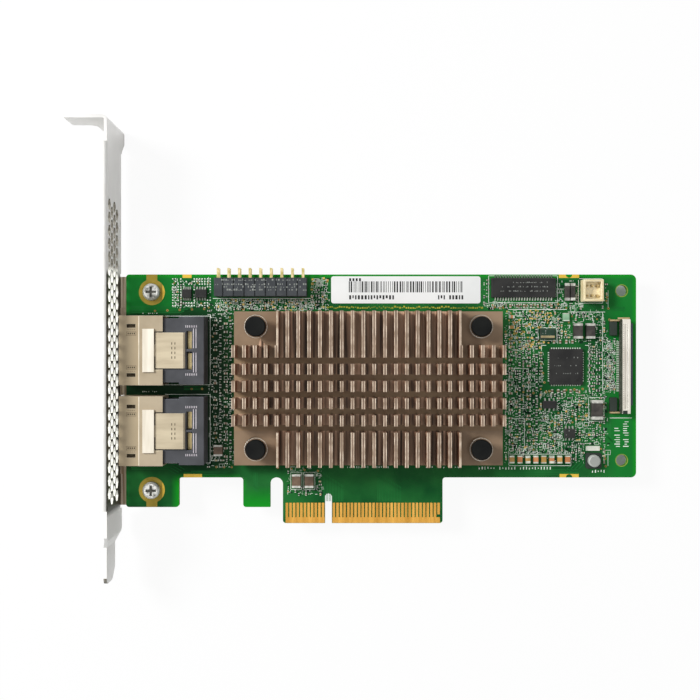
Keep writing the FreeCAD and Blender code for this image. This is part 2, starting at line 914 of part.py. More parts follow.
def cable_housing(middle):
    """Moulded body with its nose and card slot, windows over the contacts and two board pegs."""
    half = cable_housing_width / 2
    mouth = cable_connector_left
    body = span_box((cable_housing_left, cable_housing_right), (middle - half, middle + half),
                    (seat_clearance, cable_housing_top))
    nose_half = half - nose_side_step
    nose_start = mouth + nose_from_mouth
    nose = span_box((nose_start, cable_housing_left), (middle - nose_half, middle + nose_half),
                    (nose_low, nose_high))
    pegs = [post(x, y, (-board_peg_length, seat_clearance), board_peg_radius) for x, y in peg_places(middle)]
    housing = joined([body, nose] + pegs)
    tools = []
    shoulder = (cable_housing_left - 1, cable_housing_left + housing_shoulder_length)
    for side in (-1, 1):
        inner = middle + side * (half - housing_shoulder_cut)
        outer = middle + side * (half + 1)
        tools.append(span_box(shoulder, sorted((inner, outer)), (-0.5, cable_housing_top + 1)))
    slot_half = nose_half - card_slot_end_wall
    slot_middle = (nose_low + nose_high) / 2
    slot_z = (slot_middle - card_slot_height / 2, slot_middle + card_slot_height / 2)
    tools.append(span_box((nose_start - 1, nose_start + card_slot_depth),
                          (middle - slot_half, middle + slot_half), slot_z))
    window_right = cable_housing_right - contact_window_from_back
    window = (window_right - contact_window_width, window_right)
    for side in (-1, 1):
        y = middle + side * contact_window_offset
        span = (y - contact_window_lengths / 2, y + contact_window_lengths / 2)
        tools.append(span_box(window, span, (slot_z[1] - cable_contact_thickness, cable_housing_top + 1)))
    row_half = (cable_contacts_per_row * cable_contact_pitch) / 2
    thick = cable_contact_thickness
    row_span = (middle - row_half, middle + row_half)
    for low in (slot_z[0], slot_z[1] - thick):
        tools.append(span_box((nose_start, cable_leg_x + thick), row_span, (low, low + thick)))
    tools.append(span_box((cable_leg_x, cable_leg_x + thick), row_span, (-1, slot_z[1])))
    return housing.cut(tools)


def cable_cage(middle):
    """Folded tin shell round the mouth, with latch windows, embossed latch block and top flap."""
    mouth = cable_connector_left
    half = cable_cage_width / 2
    back = mouth + cable_cage_length - 2 * seat_clearance
    step = mouth + cage_step_from_mouth
    front_top = cable_cage_top - cage_step_height
    block_left = mouth + latch_block_from_mouth
    block = (block_left, block_left + latch_block_length)
    block_half = latch_block_width / 2
    flap_left = block[1] + flap_slit
    flap_half = flap_width / 2

    def shell(inset):
        width = (middle - half + inset, middle + half - inset)
        low = seat_clearance + inset
        spill = 1 if inset else 0
        return joined([
            span_box((mouth - spill, step + inset), width, (low, front_top - inset)),
            span_box((step + inset, back + spill), width, (low, cable_cage_top - inset)),
            span_box((block[0] + inset, block[1] - inset),
                     (middle - block_half + inset, middle + block_half - inset),
                     (low, cable_cage_top + latch_block_height - inset)),
        ])

    cage = shell(0).cut(shell(cage_sheet))
    roof = (cable_cage_top - cage_sheet, cable_cage_top)
    slit_half = flap_half + flap_slit
    slit = (block[1] + flap_slit_past_block, flap_left)
    across = (middle - slit_half, middle + slit_half)
    tools = [span_box(slit, across, (roof[1] - cage_sheet / 2, roof[1] + 1))]
    for side in (-1, 1):
        outer = middle + side * slit_half
        bridge = sorted((outer, middle + side * flap_bridge / 2))
        rim = sorted((outer, middle + side * flap_half))
        tools.append(span_box(slit, bridge, (roof[0] - cage_sheet, roof[1] + 1)))
        tools.append(span_box((slit[0], back + 1), rim, (roof[0] - cage_sheet, roof[1] + 1)))
    window_left = mouth + latch_window_from_mouth
    for side in (-1, 1):
        y = middle + side * latch_window_offset
        tools.append(span_box((window_left, window_left + latch_window_width),
                              (y - latch_window_length / 2, y + latch_window_length / 2),
                              (front_top - 1, front_top + 1)))
    cage = cage.cut(tools)
    flap_right = flap_left + flap_length
    low = roof[1] - flap_thickness
    flap = [
        (flap_left + flap_root, roof[1]),
        (flap_right - flap_fold / 2, roof[1]),
        (flap_right, roof[1] - flap_fold / 2),
        (flap_right, cable_housing_top + seat_clearance / 2),
        (flap_right - flap_thickness, cable_housing_top + seat_clearance / 2),
        (flap_right - flap_thickness, low),
        (flap_left + flap_root, low),
    ]
    tongue = prism(flap, "y", middle - flap_half, middle + flap_half)
    return joined([cage, tongue])


def header_body():
    """Moulded block of the right-angle header, pierced by its pins."""
    block = span_box((header_left, header_right), (header_body_low, header_body_high),
                     (0, header_body_height))
    for place in range(header_columns - 1):
        x = (header_pin_xs[place] + header_pin_xs[place + 1]) / 2
        groove = span_box((x - header_groove_width / 2, x + header_groove_width / 2),
                          (header_body_low - 1, header_body_high + 1),
                          (header_body_height - header_groove_depth, header_body_height + 1))
        block = block.cut(groove)
    return block.cut(header_pins())


def header_pins():
    """Square pins: out over the board's top edge, and down through the body and the board."""
    half = header_pin_side / 2
    pins = []
    for row in range(header_rows):
        z = header_first_row_z + row * header_row_pitch
        y = header_leg_ys[row]
        side = [
            (y - half, board_under - header_leg_below),
            (y + half, board_under - header_leg_below),
            (y + half, z - half),
            (header_body_high + header_pin_out, z - half),
            (header_body_high + header_pin_out, z + half),
            (y - half, z + half),
        ]
        for x in header_pin_xs:
            pins.append(prism(side, "x", x - half, x + half))
    return pins


def label():
    """Blank paper label with rounded corners."""
    left = header_right + label_from_header
    right = memory_left - label_from_memory
    high = board_top - label_from_top
    low = high - label_width
    corners = [(left, low), (right, low), (right, high), (left, high)]
    return rounded(prism(corners, "z", 0, label_thickness), label_corner, "z", corners)


def gull_leads(x, edge, side, z, width, reach, thick):
    """One lead of a flat package, from the body's edge down to the board, seen along X."""
    foot = edge + side * reach
    path = [
        (edge, z),
        (foot, thick),
        (foot, 0),
        (edge + side * reach / 2, 0),
        (edge, z - thick),
    ]
    return prism(path, "x", x - width / 2, x + width / 2)


def flat_package(x, y, height, standoff, chamfer):
    """Moulded body with its upper edges drawn in."""
    body = span_box(x, y, (standoff, standoff + height))
    top = [edge for edge in body.Edges if min(v.Z for v in edge.Vertexes) > standoff + height - 1e-6]
    return body.makeChamfer(chamfer, top)


def memory_chip():
    """Long memory package."""
    return flat_package((memory_left, memory_left + memory_length), (memory_low, memory_high),
                        memory_height, memory_standoff, memory_chamfer)


def memory_leads():
    """Leads along both long sides of the memory package."""
    leads = []
    z = memory_standoff + memory_height / 2
    for place in range(memory_lead_count):
        x = memory_left + memory_length / 2 + (place - (memory_lead_count - 1) / 2) * memory_lead_pitch
        for edge, side in ((memory_low, -1), (memory_high, 1)):
            leads.append(gull_leads(x, edge, side, z, memory_lead_width, memory_lead_reach,
                                    memory_lead_thickness))
    return leads


def interface_chip():
    """Flat leadless package with a pin-one dimple."""
    body = flat_package((interface_left, interface_right), (interface_low, interface_high),
                        interface_height - interface_pad_thickness, interface_pad_thickness,
                        interface_chamfer)
    dimple = post(interface_right - pin_one_inset, interface_low + pin_one_inset,
                  (interface_height - pin_one_depth, interface_height + 1), pin_one_dimple)
    return body.cut(dimple)


def interface_pads():
    """Metal pads that show round all four sides of the leadless package."""
    pads = []
    middle_x = (interface_left + interface_right) / 2
    middle_y = (interface_low + interface_high) / 2
    half = interface_pad_width / 2
    inside = interface_pad_under
    z = (0, interface_pad_thickness)
    for place in range(interface_pads_per_side):
        along = (place - (interface_pads_per_side - 1) / 2) * interface_pad_pitch
        across_x = (middle_x + along - half, middle_x + along + half)
        across_y = (middle_y + along - half, middle_y + along + half)
        pads.append(span_box(across_x, (interface_low - interface_pad_reach, interface_low + inside), z))
        pads.append(span_box(across_x, (interface_high - inside, interface_high + interface_pad_reach), z))
        pads.append(span_box((interface_left - interface_pad_reach, interface_left + inside), across_y, z))
        pads.append(span_box((interface_right - inside, interface_right + interface_pad_reach), across_y, z))
    return pads


def small_packages_and_leads():
    """The small flat chips, and all their leads as one group."""
    places = {}
    for name, (from_left, from_top) in gate_chip_places.items():
        places[name] = (board_left + from_left, board_top - from_top)
    for name, (from_sink, over_middle) in far_chip_places.items():
        places[name] = (sink_right + from_sink, sink_middle_y + over_middle)
    bodies = {}
    leads = []
    for name, (size_x, size_y) in small_package_sizes.items():
        x, y = places[name]
        low = y - size_y / 2
        high = y + size_y / 2
        bodies[name] = flat_package((x - size_x / 2, x + size_x / 2), (low, high),
                                    small_package_height, small_package_standoff, small_package_chamfer)
        if name not in small_lead_pitch:
            continue
        pitch = small_lead_pitch[name]
        count = int(size_x / pitch)
        z = small_package_standoff + small_package_height / 2
        for place in range(count):
            lead_x = x + (place - (count - 1) / 2) * pitch
            for edge, side in ((low, -1), (high, 1)):
                leads.append(gull_leads(lead_x, edge, side, z, small_lead_width, small_lead_reach,
                                        small_lead_thickness))
    return bodies, leads


def mezzanine_parts():
    """Board-to-board socket: slotted body, dark side bar, contact tails and end hold-downs."""
    left = sink_right + mezzanine_from_sink
    right = left + mezzanine_width
    low = sink_middle_y + mezzanine_over_middle - mezzanine_length / 2
    y = (low, low + mezzanine_length)
    body = span_box((left, right), y, (0, mezzanine_height))
    middle = (left + right) / 2
    slot = span_box((middle - mezzanine_slot_width / 2, middle + mezzanine_slot_width / 2),
                    (y[0] + mezzanine_end_wall, y[1] - mezzanine_end_wall),
                    (mezzanine_height - mezzanine_slot_depth, mezzanine_height + 1))
    body = body.cut(slot)
    bar = span_box((right, right + mezzanine_bar_width),
                   (y[0] + mezzanine_bar_low_inset, y[1] - mezzanine_bar_inset), (0, mezzanine_bar_height))
    tails = []
    centre = (y[0] + y[1]) / 2
    half = mezzanine_tail_width / 2
    for place in range(mezzanine_contacts):
        tail_y = centre + (place - (mezzanine_contacts - 1) / 2) * mezzanine_pitch
        span = (tail_y - half, tail_y + half)
        tails.append(span_box((left - mezzanine_tail_reach, left), span, (0, mezzanine_tail_thickness)))
    anchors = []
    blocks = []
    for end, side in ((y[0], 1), (y[1], -1)):
        arm = span_box((left - anchor_reach, left), sorted((end, end + side * anchor_arm)),
                       (0, anchor_height))
        anchors.append(arm)
        inner = sorted((end + side * anchor_arm, end + side * (anchor_arm + anchor_block_length)))
        block_left = left - anchor_reach + anchor_block_inset
        blocks.append(span_box((block_left, block_left + anchor_block_width), inner,
                               (0, anchor_block_height)))
    return body, bar, tails, anchors, blocks


def aux_socket():
    """Square open-topped socket."""
    x = (aux_left, aux_left + aux_side_x)
    y = (aux_low, aux_low + aux_side_y)
    box = span_box(x, y, (0, aux_height))
    well = span_box((x[0] + aux_wall, x[1] - aux_wall), (y[0] + aux_wall, y[1] - aux_wall),
                    (aux_floor, aux_height + 1))
    return box.cut(well).cut(aux_pins())


def aux_pins():
    """Two rows of three square pins that stand in the socket and go down to the board."""
    pins = []
    middle_x = aux_left + aux_side_x / 2
    middle_y = aux_low + aux_side_y / 2
    half = aux_pin_side / 2
    for column in range(3):
        x = middle_x + (column - 1) * aux_pin_pitch_x
        for row in range(2):
            y = middle_y + (row - 0.5) * aux_pin_pitch_y
            pins.append(span_box((x - half, x + half), (y - half, y + half), (0, aux_floor + aux_pin_rise)))
    return pins


def metal_can():
    """Round drawn can on its square base."""
    rim = can_base_height
    profile = [
        (0, rim),
        (can_radius, rim),
        (can_radius, can_height - can_edge_chamfer),
        (can_radius - can_edge_chamfer, can_height),
        (0, can_height),
    ]
    return turned(profile, can_x, can_y)


def can_base():
    """Square moulded base under the can, with its corners cut."""
    half = can_base_side / 2
    base = span_box((can_x - half, can_x + half), (can_y - half, can_y + half), (0, can_base_height))
    upright = [e for e in base.Edges if abs(e.Vertexes[0].Z - e.Vertexes[1].Z) > can_base_height / 2]
    return base.makeChamfer(can_base_corner, upright)


def chip_row(first_x, first_y, step_x, step_y, count, size, along, side=1):
    """A straight row of like chip parts, lying along X or Y, on the component or solder side."""
    length, width, height = size
    half_x = (length if along == "x" else width) / 2
    half_y = (width if along == "x" else length) / 2
    z = (0, height) if side > 0 else (board_under - height, board_under)
    row = []
    for place in range(count):
        x = first_x + place * step_x
        y = first_y + place * step_y
        row.append(span_box((x - half_x, x + half_x), (y - half_y, y + half_y), z))
    return row


def side_columns(columns, side, margin, size, along):
    """Columns of small chip parts along the heat sink's left or right side."""
    edge = sink_right if side > 0 else sink_left
    parts = []
    for from_side, start in columns:
        count = int((sink_depth - start - margin) / column_pitch) + 1
        parts += chip_row(edge + side * from_side, sink_low + start, 0, column_pitch, count, size, along)
    return parts


def far_row(place, step_x, step_y, count, size, along):
    """A row in the far zone, placed from the heat sink's right side and its middle."""
    return chip_row(sink_right + place[0], sink_middle_y + place[1], step_x, step_y, count, size, along)


def chip_parts():
    """Every group of chip capacitors, resistors and inductors, by node."""
    groups = {}
    groups["output_capacitors"] = chip_row(
        sink_right + output_row[0], board_lower_edge + output_row[1], output_row_step, 0,
        output_row_count, chip_0805, "y"
    ) + far_row(output_pair, 0, -output_pair_step, 2, chip_0603, "x")
    groups["bulk_capacitors"] = chip_row(
        bulk_pair_x, board_lower_edge - bulk_pair_under_edge, bulk_pair_step, 0, 2, bulk_chip, "y"
    ) + chip_row(sink_left - lone_bulk[0], sink_low + lone_bulk[1], 0, 0, 1, chip_1210, "y")
    groups["power_inductors"] = (
        chip_row(sink_right + slim_pair[0], board_top - slim_pair[1], slim_pair_step, 0, 2,
                 slim_inductor, "y")
        + far_row(flat_pair, flat_pair_step, 0, 2, flat_inductor, "y")
        + far_row(large_inductor_place, 0, 0, 1, large_inductor, "y")
    )
    groups["crystal"] = chip_row(sink_right + crystal_place[0], board_top - crystal_place[1], 0, 0, 1,
                                 crystal_size, "y")
    groups["resistor_array"] = chip_row(sink_right + array_place[0], board_lower_edge + array_place[1],
                                        0, 0, 1, array_size, "x")
    groups["signal_capacitors"] = (
        side_columns(left_capacitor_columns, -1, left_column_margin, chip_0402, "x")
        + side_columns(right_capacitor_columns, 1, right_column_margin, chip_0402, "x")
        + far_row(clock_row, interface_row_step, 0, clock_row_count, chip_0402, "y")
        + far_row(interface_row, interface_row_step, 0, interface_row_count, chip_0402, "y")
        + chip_row(sink_right + memory_row_from_sink, board_top - memory_row_from_top, memory_row_step, 0,
                   memory_row_count, chip_0402, "y")
    )
    groups["signal_resistors"] = (
        side_columns(left_resistor_columns, -1, left_column_margin, chip_0402, "y")
        + side_columns(right_resistor_columns, 1, right_column_margin, chip_0402, "y")
        + chip_row(header_right + trio_from_header, board_top - trio_from_top, 0, -trio_step, trio_count,
                   chip_0402, "x")
    )
    for place in socket_columns:
        groups["signal_resistors"] += far_row(place, 0, socket_column_step, socket_column_count, chip_0402,
                                              "x")
    reach = (underside_grid_count - 1) * underside_grid_step / 2
    groups["underside_capacitors"] = []
    for row in range(underside_grid_count):
        y = sink_middle_y - reach + row * underside_grid_step
        groups["underside_capacitors"] += chip_row(sink_middle - reach, y, underside_grid_step, 0,
                                                   underside_grid_count, chip_0402, "x", -1)
    return groups


os.makedirs("parts", exist_ok=True)
save("circuit_board", circuit_board())
save("edge_contacts_front", edge_contacts(0, 1, -1))
save("edge_contacts_back", edge_contacts(board_under, -1, 0))
save("ground_pads", ground_pads())
save("bracket", bracket())
for name, y in bracket_screw_ys.items():
    save("bracket_screw_" + name, bracket_screw(y))
save("heat_sink", heat_sink())
for name, (x, y) in pin_places.items():
    save("push_pin_" + name, push_pin(x, y))
    save("push_pin_spring_" + name, push_pin_spring(x, y))
save("controller_chip", controller_chip())
save("thermal_pad", thermal_pad())
for name, middle in cable_connector_middles.items():
    save("cable_cage_" + name, cable_cage(middle))
    save("cable_housing_" + name, cable_housing(middle))
    save("cable_contacts_" + name, cable_contacts(middle))
save("pin_header_body", header_body())
save("pin_header_pins", header_pins())
save("label", label())
save("memory_chip", memory_chip())
save("memory_leads", memory_leads())
save("interface_chip", interface_chip())
save("interface_pads", interface_pads())
package_bodies, package_leads = small_packages_and_leads()
for name, body in package_bodies.items():
    save(name, body)
save("small_chip_leads", package_leads)
socket_body, side_bar, socket_tails, socket_anchors, socket_blocks = mezzanine_parts()
save("mezzanine_socket", socket_body)
save("mezzanine_bar", side_bar)
save("mezzanine_tails", socket_tails)
save("mezzanine_anchors", socket_anchors)
save("mezzanine_blocks", socket_blocks)
save("aux_socket", aux_socket())
save("aux_pins", aux_pins())
save("metal_can", metal_can())
save("can_base", can_base())
for name, parts in chip_parts().items():
    save(name, parts)
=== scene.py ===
import json
import math
import random

import bmesh
import bpy
from mathutils import Matrix, Vector


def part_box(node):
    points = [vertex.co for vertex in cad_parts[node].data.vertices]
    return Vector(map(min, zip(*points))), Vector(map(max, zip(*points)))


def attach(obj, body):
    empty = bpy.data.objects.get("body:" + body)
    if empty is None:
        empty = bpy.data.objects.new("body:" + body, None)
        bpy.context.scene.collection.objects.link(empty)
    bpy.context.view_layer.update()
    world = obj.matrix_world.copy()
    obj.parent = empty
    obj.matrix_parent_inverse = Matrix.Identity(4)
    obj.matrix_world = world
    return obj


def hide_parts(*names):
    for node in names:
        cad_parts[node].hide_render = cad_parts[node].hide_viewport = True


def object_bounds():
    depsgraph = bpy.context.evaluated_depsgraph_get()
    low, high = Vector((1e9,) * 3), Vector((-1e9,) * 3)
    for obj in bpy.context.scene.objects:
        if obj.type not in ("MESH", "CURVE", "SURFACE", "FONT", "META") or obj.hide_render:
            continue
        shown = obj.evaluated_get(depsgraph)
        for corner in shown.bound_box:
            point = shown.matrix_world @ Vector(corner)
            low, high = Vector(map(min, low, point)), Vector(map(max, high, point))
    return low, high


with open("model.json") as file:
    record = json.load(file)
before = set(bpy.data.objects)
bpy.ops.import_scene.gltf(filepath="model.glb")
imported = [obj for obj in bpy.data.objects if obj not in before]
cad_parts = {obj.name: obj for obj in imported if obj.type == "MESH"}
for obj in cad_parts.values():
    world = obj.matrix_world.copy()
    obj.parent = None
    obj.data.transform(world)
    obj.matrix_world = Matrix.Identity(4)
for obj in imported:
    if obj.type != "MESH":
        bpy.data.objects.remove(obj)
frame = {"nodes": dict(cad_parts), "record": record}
nodes = frame["nodes"]
cad_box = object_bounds()
MM = 0.001

# The camera looks straight down on the card, as the photograph does, from about 294 mm over the board.
# Its frame is 193.85 mm wide at the board's surface, and its axis meets the board at (5.97, 47.99) mm.
CAMERA_HEIGHT = 294 * MM
CAMERA_AIM = (5.97 * MM, 47.99 * MM)
FRAME_WIDTH = 193.85 * MM
SENSOR = 36.0

lens = bpy.data.cameras.new("overhead_camera")
lens.sensor_width = SENSOR
lens.lens = SENSOR * CAMERA_HEIGHT / FRAME_WIDTH
lens.clip_start = 0.01
camera = bpy.data.objects.new("overhead_camera", lens)
camera.location = (CAMERA_AIM[0], CAMERA_AIM[1], CAMERA_HEIGHT)
bpy.context.scene.collection.objects.link(camera)
bpy.context.scene.camera = camera
bpy.context.scene.view_settings.view_transform = "Standard"

# Studio light: a soft box low over the card's left, which gives the fins their shadows, a weak large one
# overhead, and an even pale surround that camera and glossy rays see as white.
KEY_PLACE = (-0.52, 0.30, 0.50)
KEY_SIZE = 0.22
KEY_POWER = 5.4
OVERHEAD_PLACE = (0.10, 0.02, 0.80)
OVERHEAD_SIZE = 0.60
OVERHEAD_POWER = 1.5
SURROUND = 0.26
WHITE = (1.0, 1.0, 1.0, 1)


def soft_box(name, place, size, power):
    """A square lamp aimed at the card's middle."""
    lamp = bpy.data.lights.new(name, "AREA")
    lamp.shape = "SQUARE"
    lamp.size = size
    lamp.energy = power
    box = bpy.data.objects.new(name, lamp)
    box.location = place
    aim = Vector((CAMERA_AIM[0], CAMERA_AIM[1], 0)) - Vector(place)
    box.rotation_euler = aim.to_track_quat("-Z", "Y").to_euler()
    bpy.context.scene.collection.objects.link(box)


def worked(tree, operation, a, b):
    """One arithmetic step between sockets or numbers."""
    step = tree.nodes.new("ShaderNodeMath")
    step.operation = operation
    for place, value in enumerate((a, b)):
        if isinstance(value, (int, float)):
            step.inputs[place].default_value = value
        else:
            tree.links.new(value, step.inputs[place])
    return step.outputs[0]


soft_box("key_light", KEY_PLACE, KEY_SIZE, KEY_POWER)
soft_box("overhead_light", OVERHEAD_PLACE, OVERHEAD_SIZE, OVERHEAD_POWER)

world = bpy.data.worlds.new("studio")
bpy.context.scene.world = world
world.use_nodes = True
sky = world.node_tree
sky.nodes.clear()
ray = sky.nodes.new("ShaderNodeLightPath").outputs
seen = worked(sky, "MAXIMUM", ray["Is Camera Ray"], ray["Is Glossy Ray"])
seen = worked(sky, "MAXIMUM", seen, ray["Is Transmission Ray"])
lit = sky.nodes.new("ShaderNodeBackground")
lit.inputs["Color"].default_value = WHITE
lit.inputs["Strength"].default_value = SURROUND
white = sky.nodes.new("ShaderNodeBackground")
white.inputs["Color"].default_value = WHITE
choice = sky.nodes.new("ShaderNodeMixShader")
world_out = sky.nodes.new("ShaderNodeOutputWorld")
sky.links.new(seen, choice.inputs[0])
sky.links.new(lit.outputs[0], choice.inputs[1])
sky.links.new(white.outputs[0], choice.inputs[2])
sky.links.new(choice.outputs[0], world_out.inputs["Surface"])

# The floor is a plain white sweep just under the lowest point of the bracket. It keeps the card's soft
# shadow, lifted towards white for the camera except right below the board, where holes and gaps show it.
FLOOR_SIZE = 3.0
FLOOR_GAP = 0.02 * MM
FLOOR_COLOUR = (0.92, 0.92, 0.92, 1)
FLOOR_LIFT = 0.93
UNDER_CARD = {"X": (-60.2 * MM, 86.2 * MM), "Y": (12.4 * MM, 68.8 * MM)}
UNDER_SOFT = 0.8 * MM


def ramp(tree, value, low, high, at_low=0.0, at_high=1.0):
    """A straight ramp between two values of a socket."""
    step = tree.nodes.new("ShaderNodeMapRange")
    step.inputs["From Min"].default_value = low
    step.inputs["From Max"].default_value = high
    step.inputs["To Min"].default_value = at_low
    step.inputs["To Max"].default_value = at_high
    tree.links.new(value, step.inputs["Value"])
    return step.outputs["Result"]


def position(tree):
    """The X, Y and Z of each point of a piece, in the shared frame."""
    split = tree.nodes.new("ShaderNodeSeparateXYZ")
    tree.links.new(tree.nodes.new("ShaderNodeTexCoord").outputs["Object"], split.inputs[0])
    return split.outputs


floor_mesh = bpy.data.meshes.new("floor")
bm = bmesh.new()
bmesh.ops.create_grid(bm, x_segments=1, y_segments=1, size=FLOOR_SIZE / 2)
bmesh.ops.translate(bm, verts=bm.verts, vec=(0, 0, cad_box[0][2] - FLOOR_GAP))
bm.to_mesh(floor_mesh)
bm.free()
floor = bpy.data.objects.new("floor", floor_mesh)
bpy.context.scene.collection.objects.link(floor)
floor_paint = bpy.data.materials.new("white_sweep")
floor_paint.use_nodes = True
tree = floor_paint.node_tree
tree.nodes.clear()
floor_place = position(tree)
shade = 1
for axis, (near, far) in UNDER_CARD.items():
    for edge, inner in ((near, near + UNDER_SOFT), (far, far - UNDER_SOFT)):
        shade = worked(tree, "MULTIPLY", ramp(tree, floor_place[axis], edge, inner), shade)
camera_ray = tree.nodes.new("ShaderNodeLightPath").outputs["Is Camera Ray"]
lift = worked(tree, "MULTIPLY", camera_ray, worked(tree, "SUBTRACT", 1, shade))
floor_matt = tree.nodes.new("ShaderNodeBsdfDiffuse")
floor_matt.inputs["Color"].default_value = FLOOR_COLOUR
floor_glow = tree.nodes.new("ShaderNodeEmission")
floor_mix = tree.nodes.new("ShaderNodeMixShader")
floor_out = tree.nodes.new("ShaderNodeOutputMaterial")
tree.links.new(worked(tree, "MULTIPLY", lift, FLOOR_LIFT), floor_mix.inputs[0])
tree.links.new(floor_matt.outputs[0], floor_mix.inputs[1])
tree.links.new(floor_glow.outputs[0], floor_mix.inputs[2])
tree.links.new(floor_mix.outputs[0], floor_out.inputs["Surface"])
floor_mesh.materials.append(floor_paint)

# The circuit board: glass-and-resin laminate with copper inside, a glossy green solder mask over it, and
# bare laminate on its routed edges. The mask is brighter by the edges and on the hanging tab, where no
# copper backs it. Between the connectors and the heat sink it is darker: partly a darker mask, partly
# painted shade from the tall parts round it.
EDGE_BAND = (1.3 * MM, 0.2 * MM)
EDGE_SHARE = 0.9
TAB_SPAN = (-24.5 * MM, -13.0 * MM)
TAB_FADE = (13.0 * MM, 10.5 * MM)
TAB_HANGING = (10.5 * MM, 4.5 * MM)
TAB_SIDE = (-22.3 * MM, -23.7 * MM)
TAB_SIDE_SHARE = 0.8
LOBE_EDGE = (-43.6 * MM, -41.4 * MM)
LOBE_TOP = (13.9 * MM, 11.4 * MM)
DARK_RIGHT = (-24 * MM, -30 * MM)
DARK_TOP = (62 * MM, 57 * MM)
DARK_BOTTOM = (13 * MM, 17 * MM)
DARK_SHARE = 0.85
LIGHTER_LEFT = (-40 * MM, -44 * MM)
LIGHTER_TOP = (57.5 * MM, 59.5 * MM)
LIGHTER_RIGHT = (75 * MM, 80 * MM)
LIGHTER_SHARE = 0.6
CLOUD_RANGE = (0.36, 0.64)
GRAIN_RANGE = (0.3, 0.7)
LOWEST_ROUGHNESS = 0.02
RELIEF_STRENGTH = 0.5
MERGE_DISTANCE = 1e-7
FLAT_ANGLE = math.radians(0.5)


def seen_as(red, green, blue):
    """A finish's own colour, from the way it looks on a screen."""
    channels = []
    for value in (red, green, blue):
        part = value / 255
        channels.append(part / 12.92 if part <= 0.04045 else ((part + 0.055) / 1.055) ** 2.4)
    return (*channels, 1)


def node_group(name, inputs, outputs):
    """An empty shader group with named inputs and outputs."""
    group = bpy.data.node_groups.new(name, "ShaderNodeTree")
    for socket, kind in inputs:
        group.interface.new_socket(socket, in_out="INPUT", socket_type=kind)
    for socket, kind in outputs:
        group.interface.new_socket(socket, in_out="OUTPUT", socket_type=kind)
    return group, group.nodes.new("NodeGroupInput"), group.nodes.new("NodeGroupOutput")


# Cloudy variation with a fine grain in it, for the colour, gloss and relief of every finish
grain_group, grain_in, grain_out = node_group(
    "cloud_and_grain",
    [("Vector", "NodeSocketVector"), ("Cloud Scale", "NodeSocketFloat"),
     ("Grain Scale", "NodeSocketFloat")],
    [("Cloud", "NodeSocketFloat"), ("Grain", "NodeSocketFloat")],
)
cloud = grain_group.nodes.new("ShaderNodeTexNoise")
cloud.inputs["Detail"].default_value = 3
fine = grain_group.nodes.new("ShaderNodeTexNoise")
fine.inputs["Detail"].default_value = 2
grain_group.links.new(grain_in.outputs["Vector"], cloud.inputs["Vector"])
grain_group.links.new(grain_in.outputs["Cloud Scale"], cloud.inputs["Scale"])
grain_group.links.new(grain_in.outputs["Vector"], fine.inputs["Vector"])
grain_group.links.new(grain_in.outputs["Grain Scale"], fine.inputs["Scale"])
grain_group.links.new(cloud.outputs[0], grain_out.inputs["Cloud"])
grain_group.links.new(fine.outputs[0], grain_out.inputs["Grain"])


def finish(name, dark, light, roughness, metallic=0.0, specular=0.25, cloud_scale=60, grain_scale=2500,
           relief=0.02, gloss_spread=0.08, stretch=(1, 1, 1)):
    """A finish whose colour drifts between two tones, with fine grain in its gloss and relief."""
    material = bpy.data.materials.new(name)
    material.use_nodes = True
    tree = material.node_tree
    shader = tree.nodes["Principled BSDF"]
    shader.inputs["Metallic"].default_value = metallic
    shader.inputs["Specular IOR Level"].default_value = specular
    place = tree.nodes.new("ShaderNodeTexCoord")
    mapping = tree.nodes.new("ShaderNodeMapping")
    mapping.inputs["Scale"].default_value = stretch
    tree.links.new(place.outputs["Object"], mapping.inputs["Vector"])
    grain = tree.nodes.new("ShaderNodeGroup")
    grain.node_tree = grain_group
    grain.inputs["Cloud Scale"].default_value = cloud_scale
    grain.inputs["Grain Scale"].default_value = grain_scale
    tree.links.new(mapping.outputs[0], grain.inputs["Vector"])
    tone = tree.nodes.new("ShaderNodeMix")
    tone.data_type = "RGBA"
    tone.inputs["A"].default_value = seen_as(*dark)
    tone.inputs["B"].default_value = seen_as(*light)
    tree.links.new(ramp(tree, grain.outputs["Cloud"], *CLOUD_RANGE), tone.inputs["Factor"])
    tree.links.new(tone.outputs["Result"], shader.inputs["Base Color"])
    gloss = ramp(tree, grain.outputs["Grain"], *GRAIN_RANGE,
                 max(roughness - gloss_spread, LOWEST_ROUGHNESS), roughness + gloss_spread)
    tree.links.new(gloss, shader.inputs["Roughness"])
    bump = tree.nodes.new("ShaderNodeBump")
    bump.inputs["Strength"].default_value = RELIEF_STRENGTH
    bump.inputs["Distance"].default_value = relief * MM
    tree.links.new(grain.outputs["Grain"], bump.inputs["Height"])
    tree.links.new(bump.outputs["Normal"], shader.inputs["Normal"])
    return material


def lay_over(material, factor, colour):
    """Lays another colour over a finish where the factor says."""
    tree = material.node_tree
    shader = tree.nodes["Principled BSDF"]
    under = shader.inputs["Base Color"].links[0].from_socket
    mix = tree.nodes.new("ShaderNodeMix")
    mix.data_type = "RGBA"
    mix.inputs["B"].default_value = seen_as(*colour)
    tree.links.new(under, mix.inputs["A"])
    tree.links.new(factor, mix.inputs["Factor"])
    tree.links.new(mix.outputs["Result"], shader.inputs["Base Color"])


def show(name, bm, materials, slot_name, replaces=()):
    """Makes the finished piece from a mesh being edited, and lets it ride on the card."""
    mesh = bpy.data.meshes.new(name)
    bm.to_mesh(mesh)
    bm.free()
    piece = bpy.data.objects.new(name, mesh)
    bpy.context.scene.collection.objects.link(piece)
    for material in materials:
        mesh.materials.append(material)
    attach(piece, "root")
    if replaces:
        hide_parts(*replaces)
    return piece


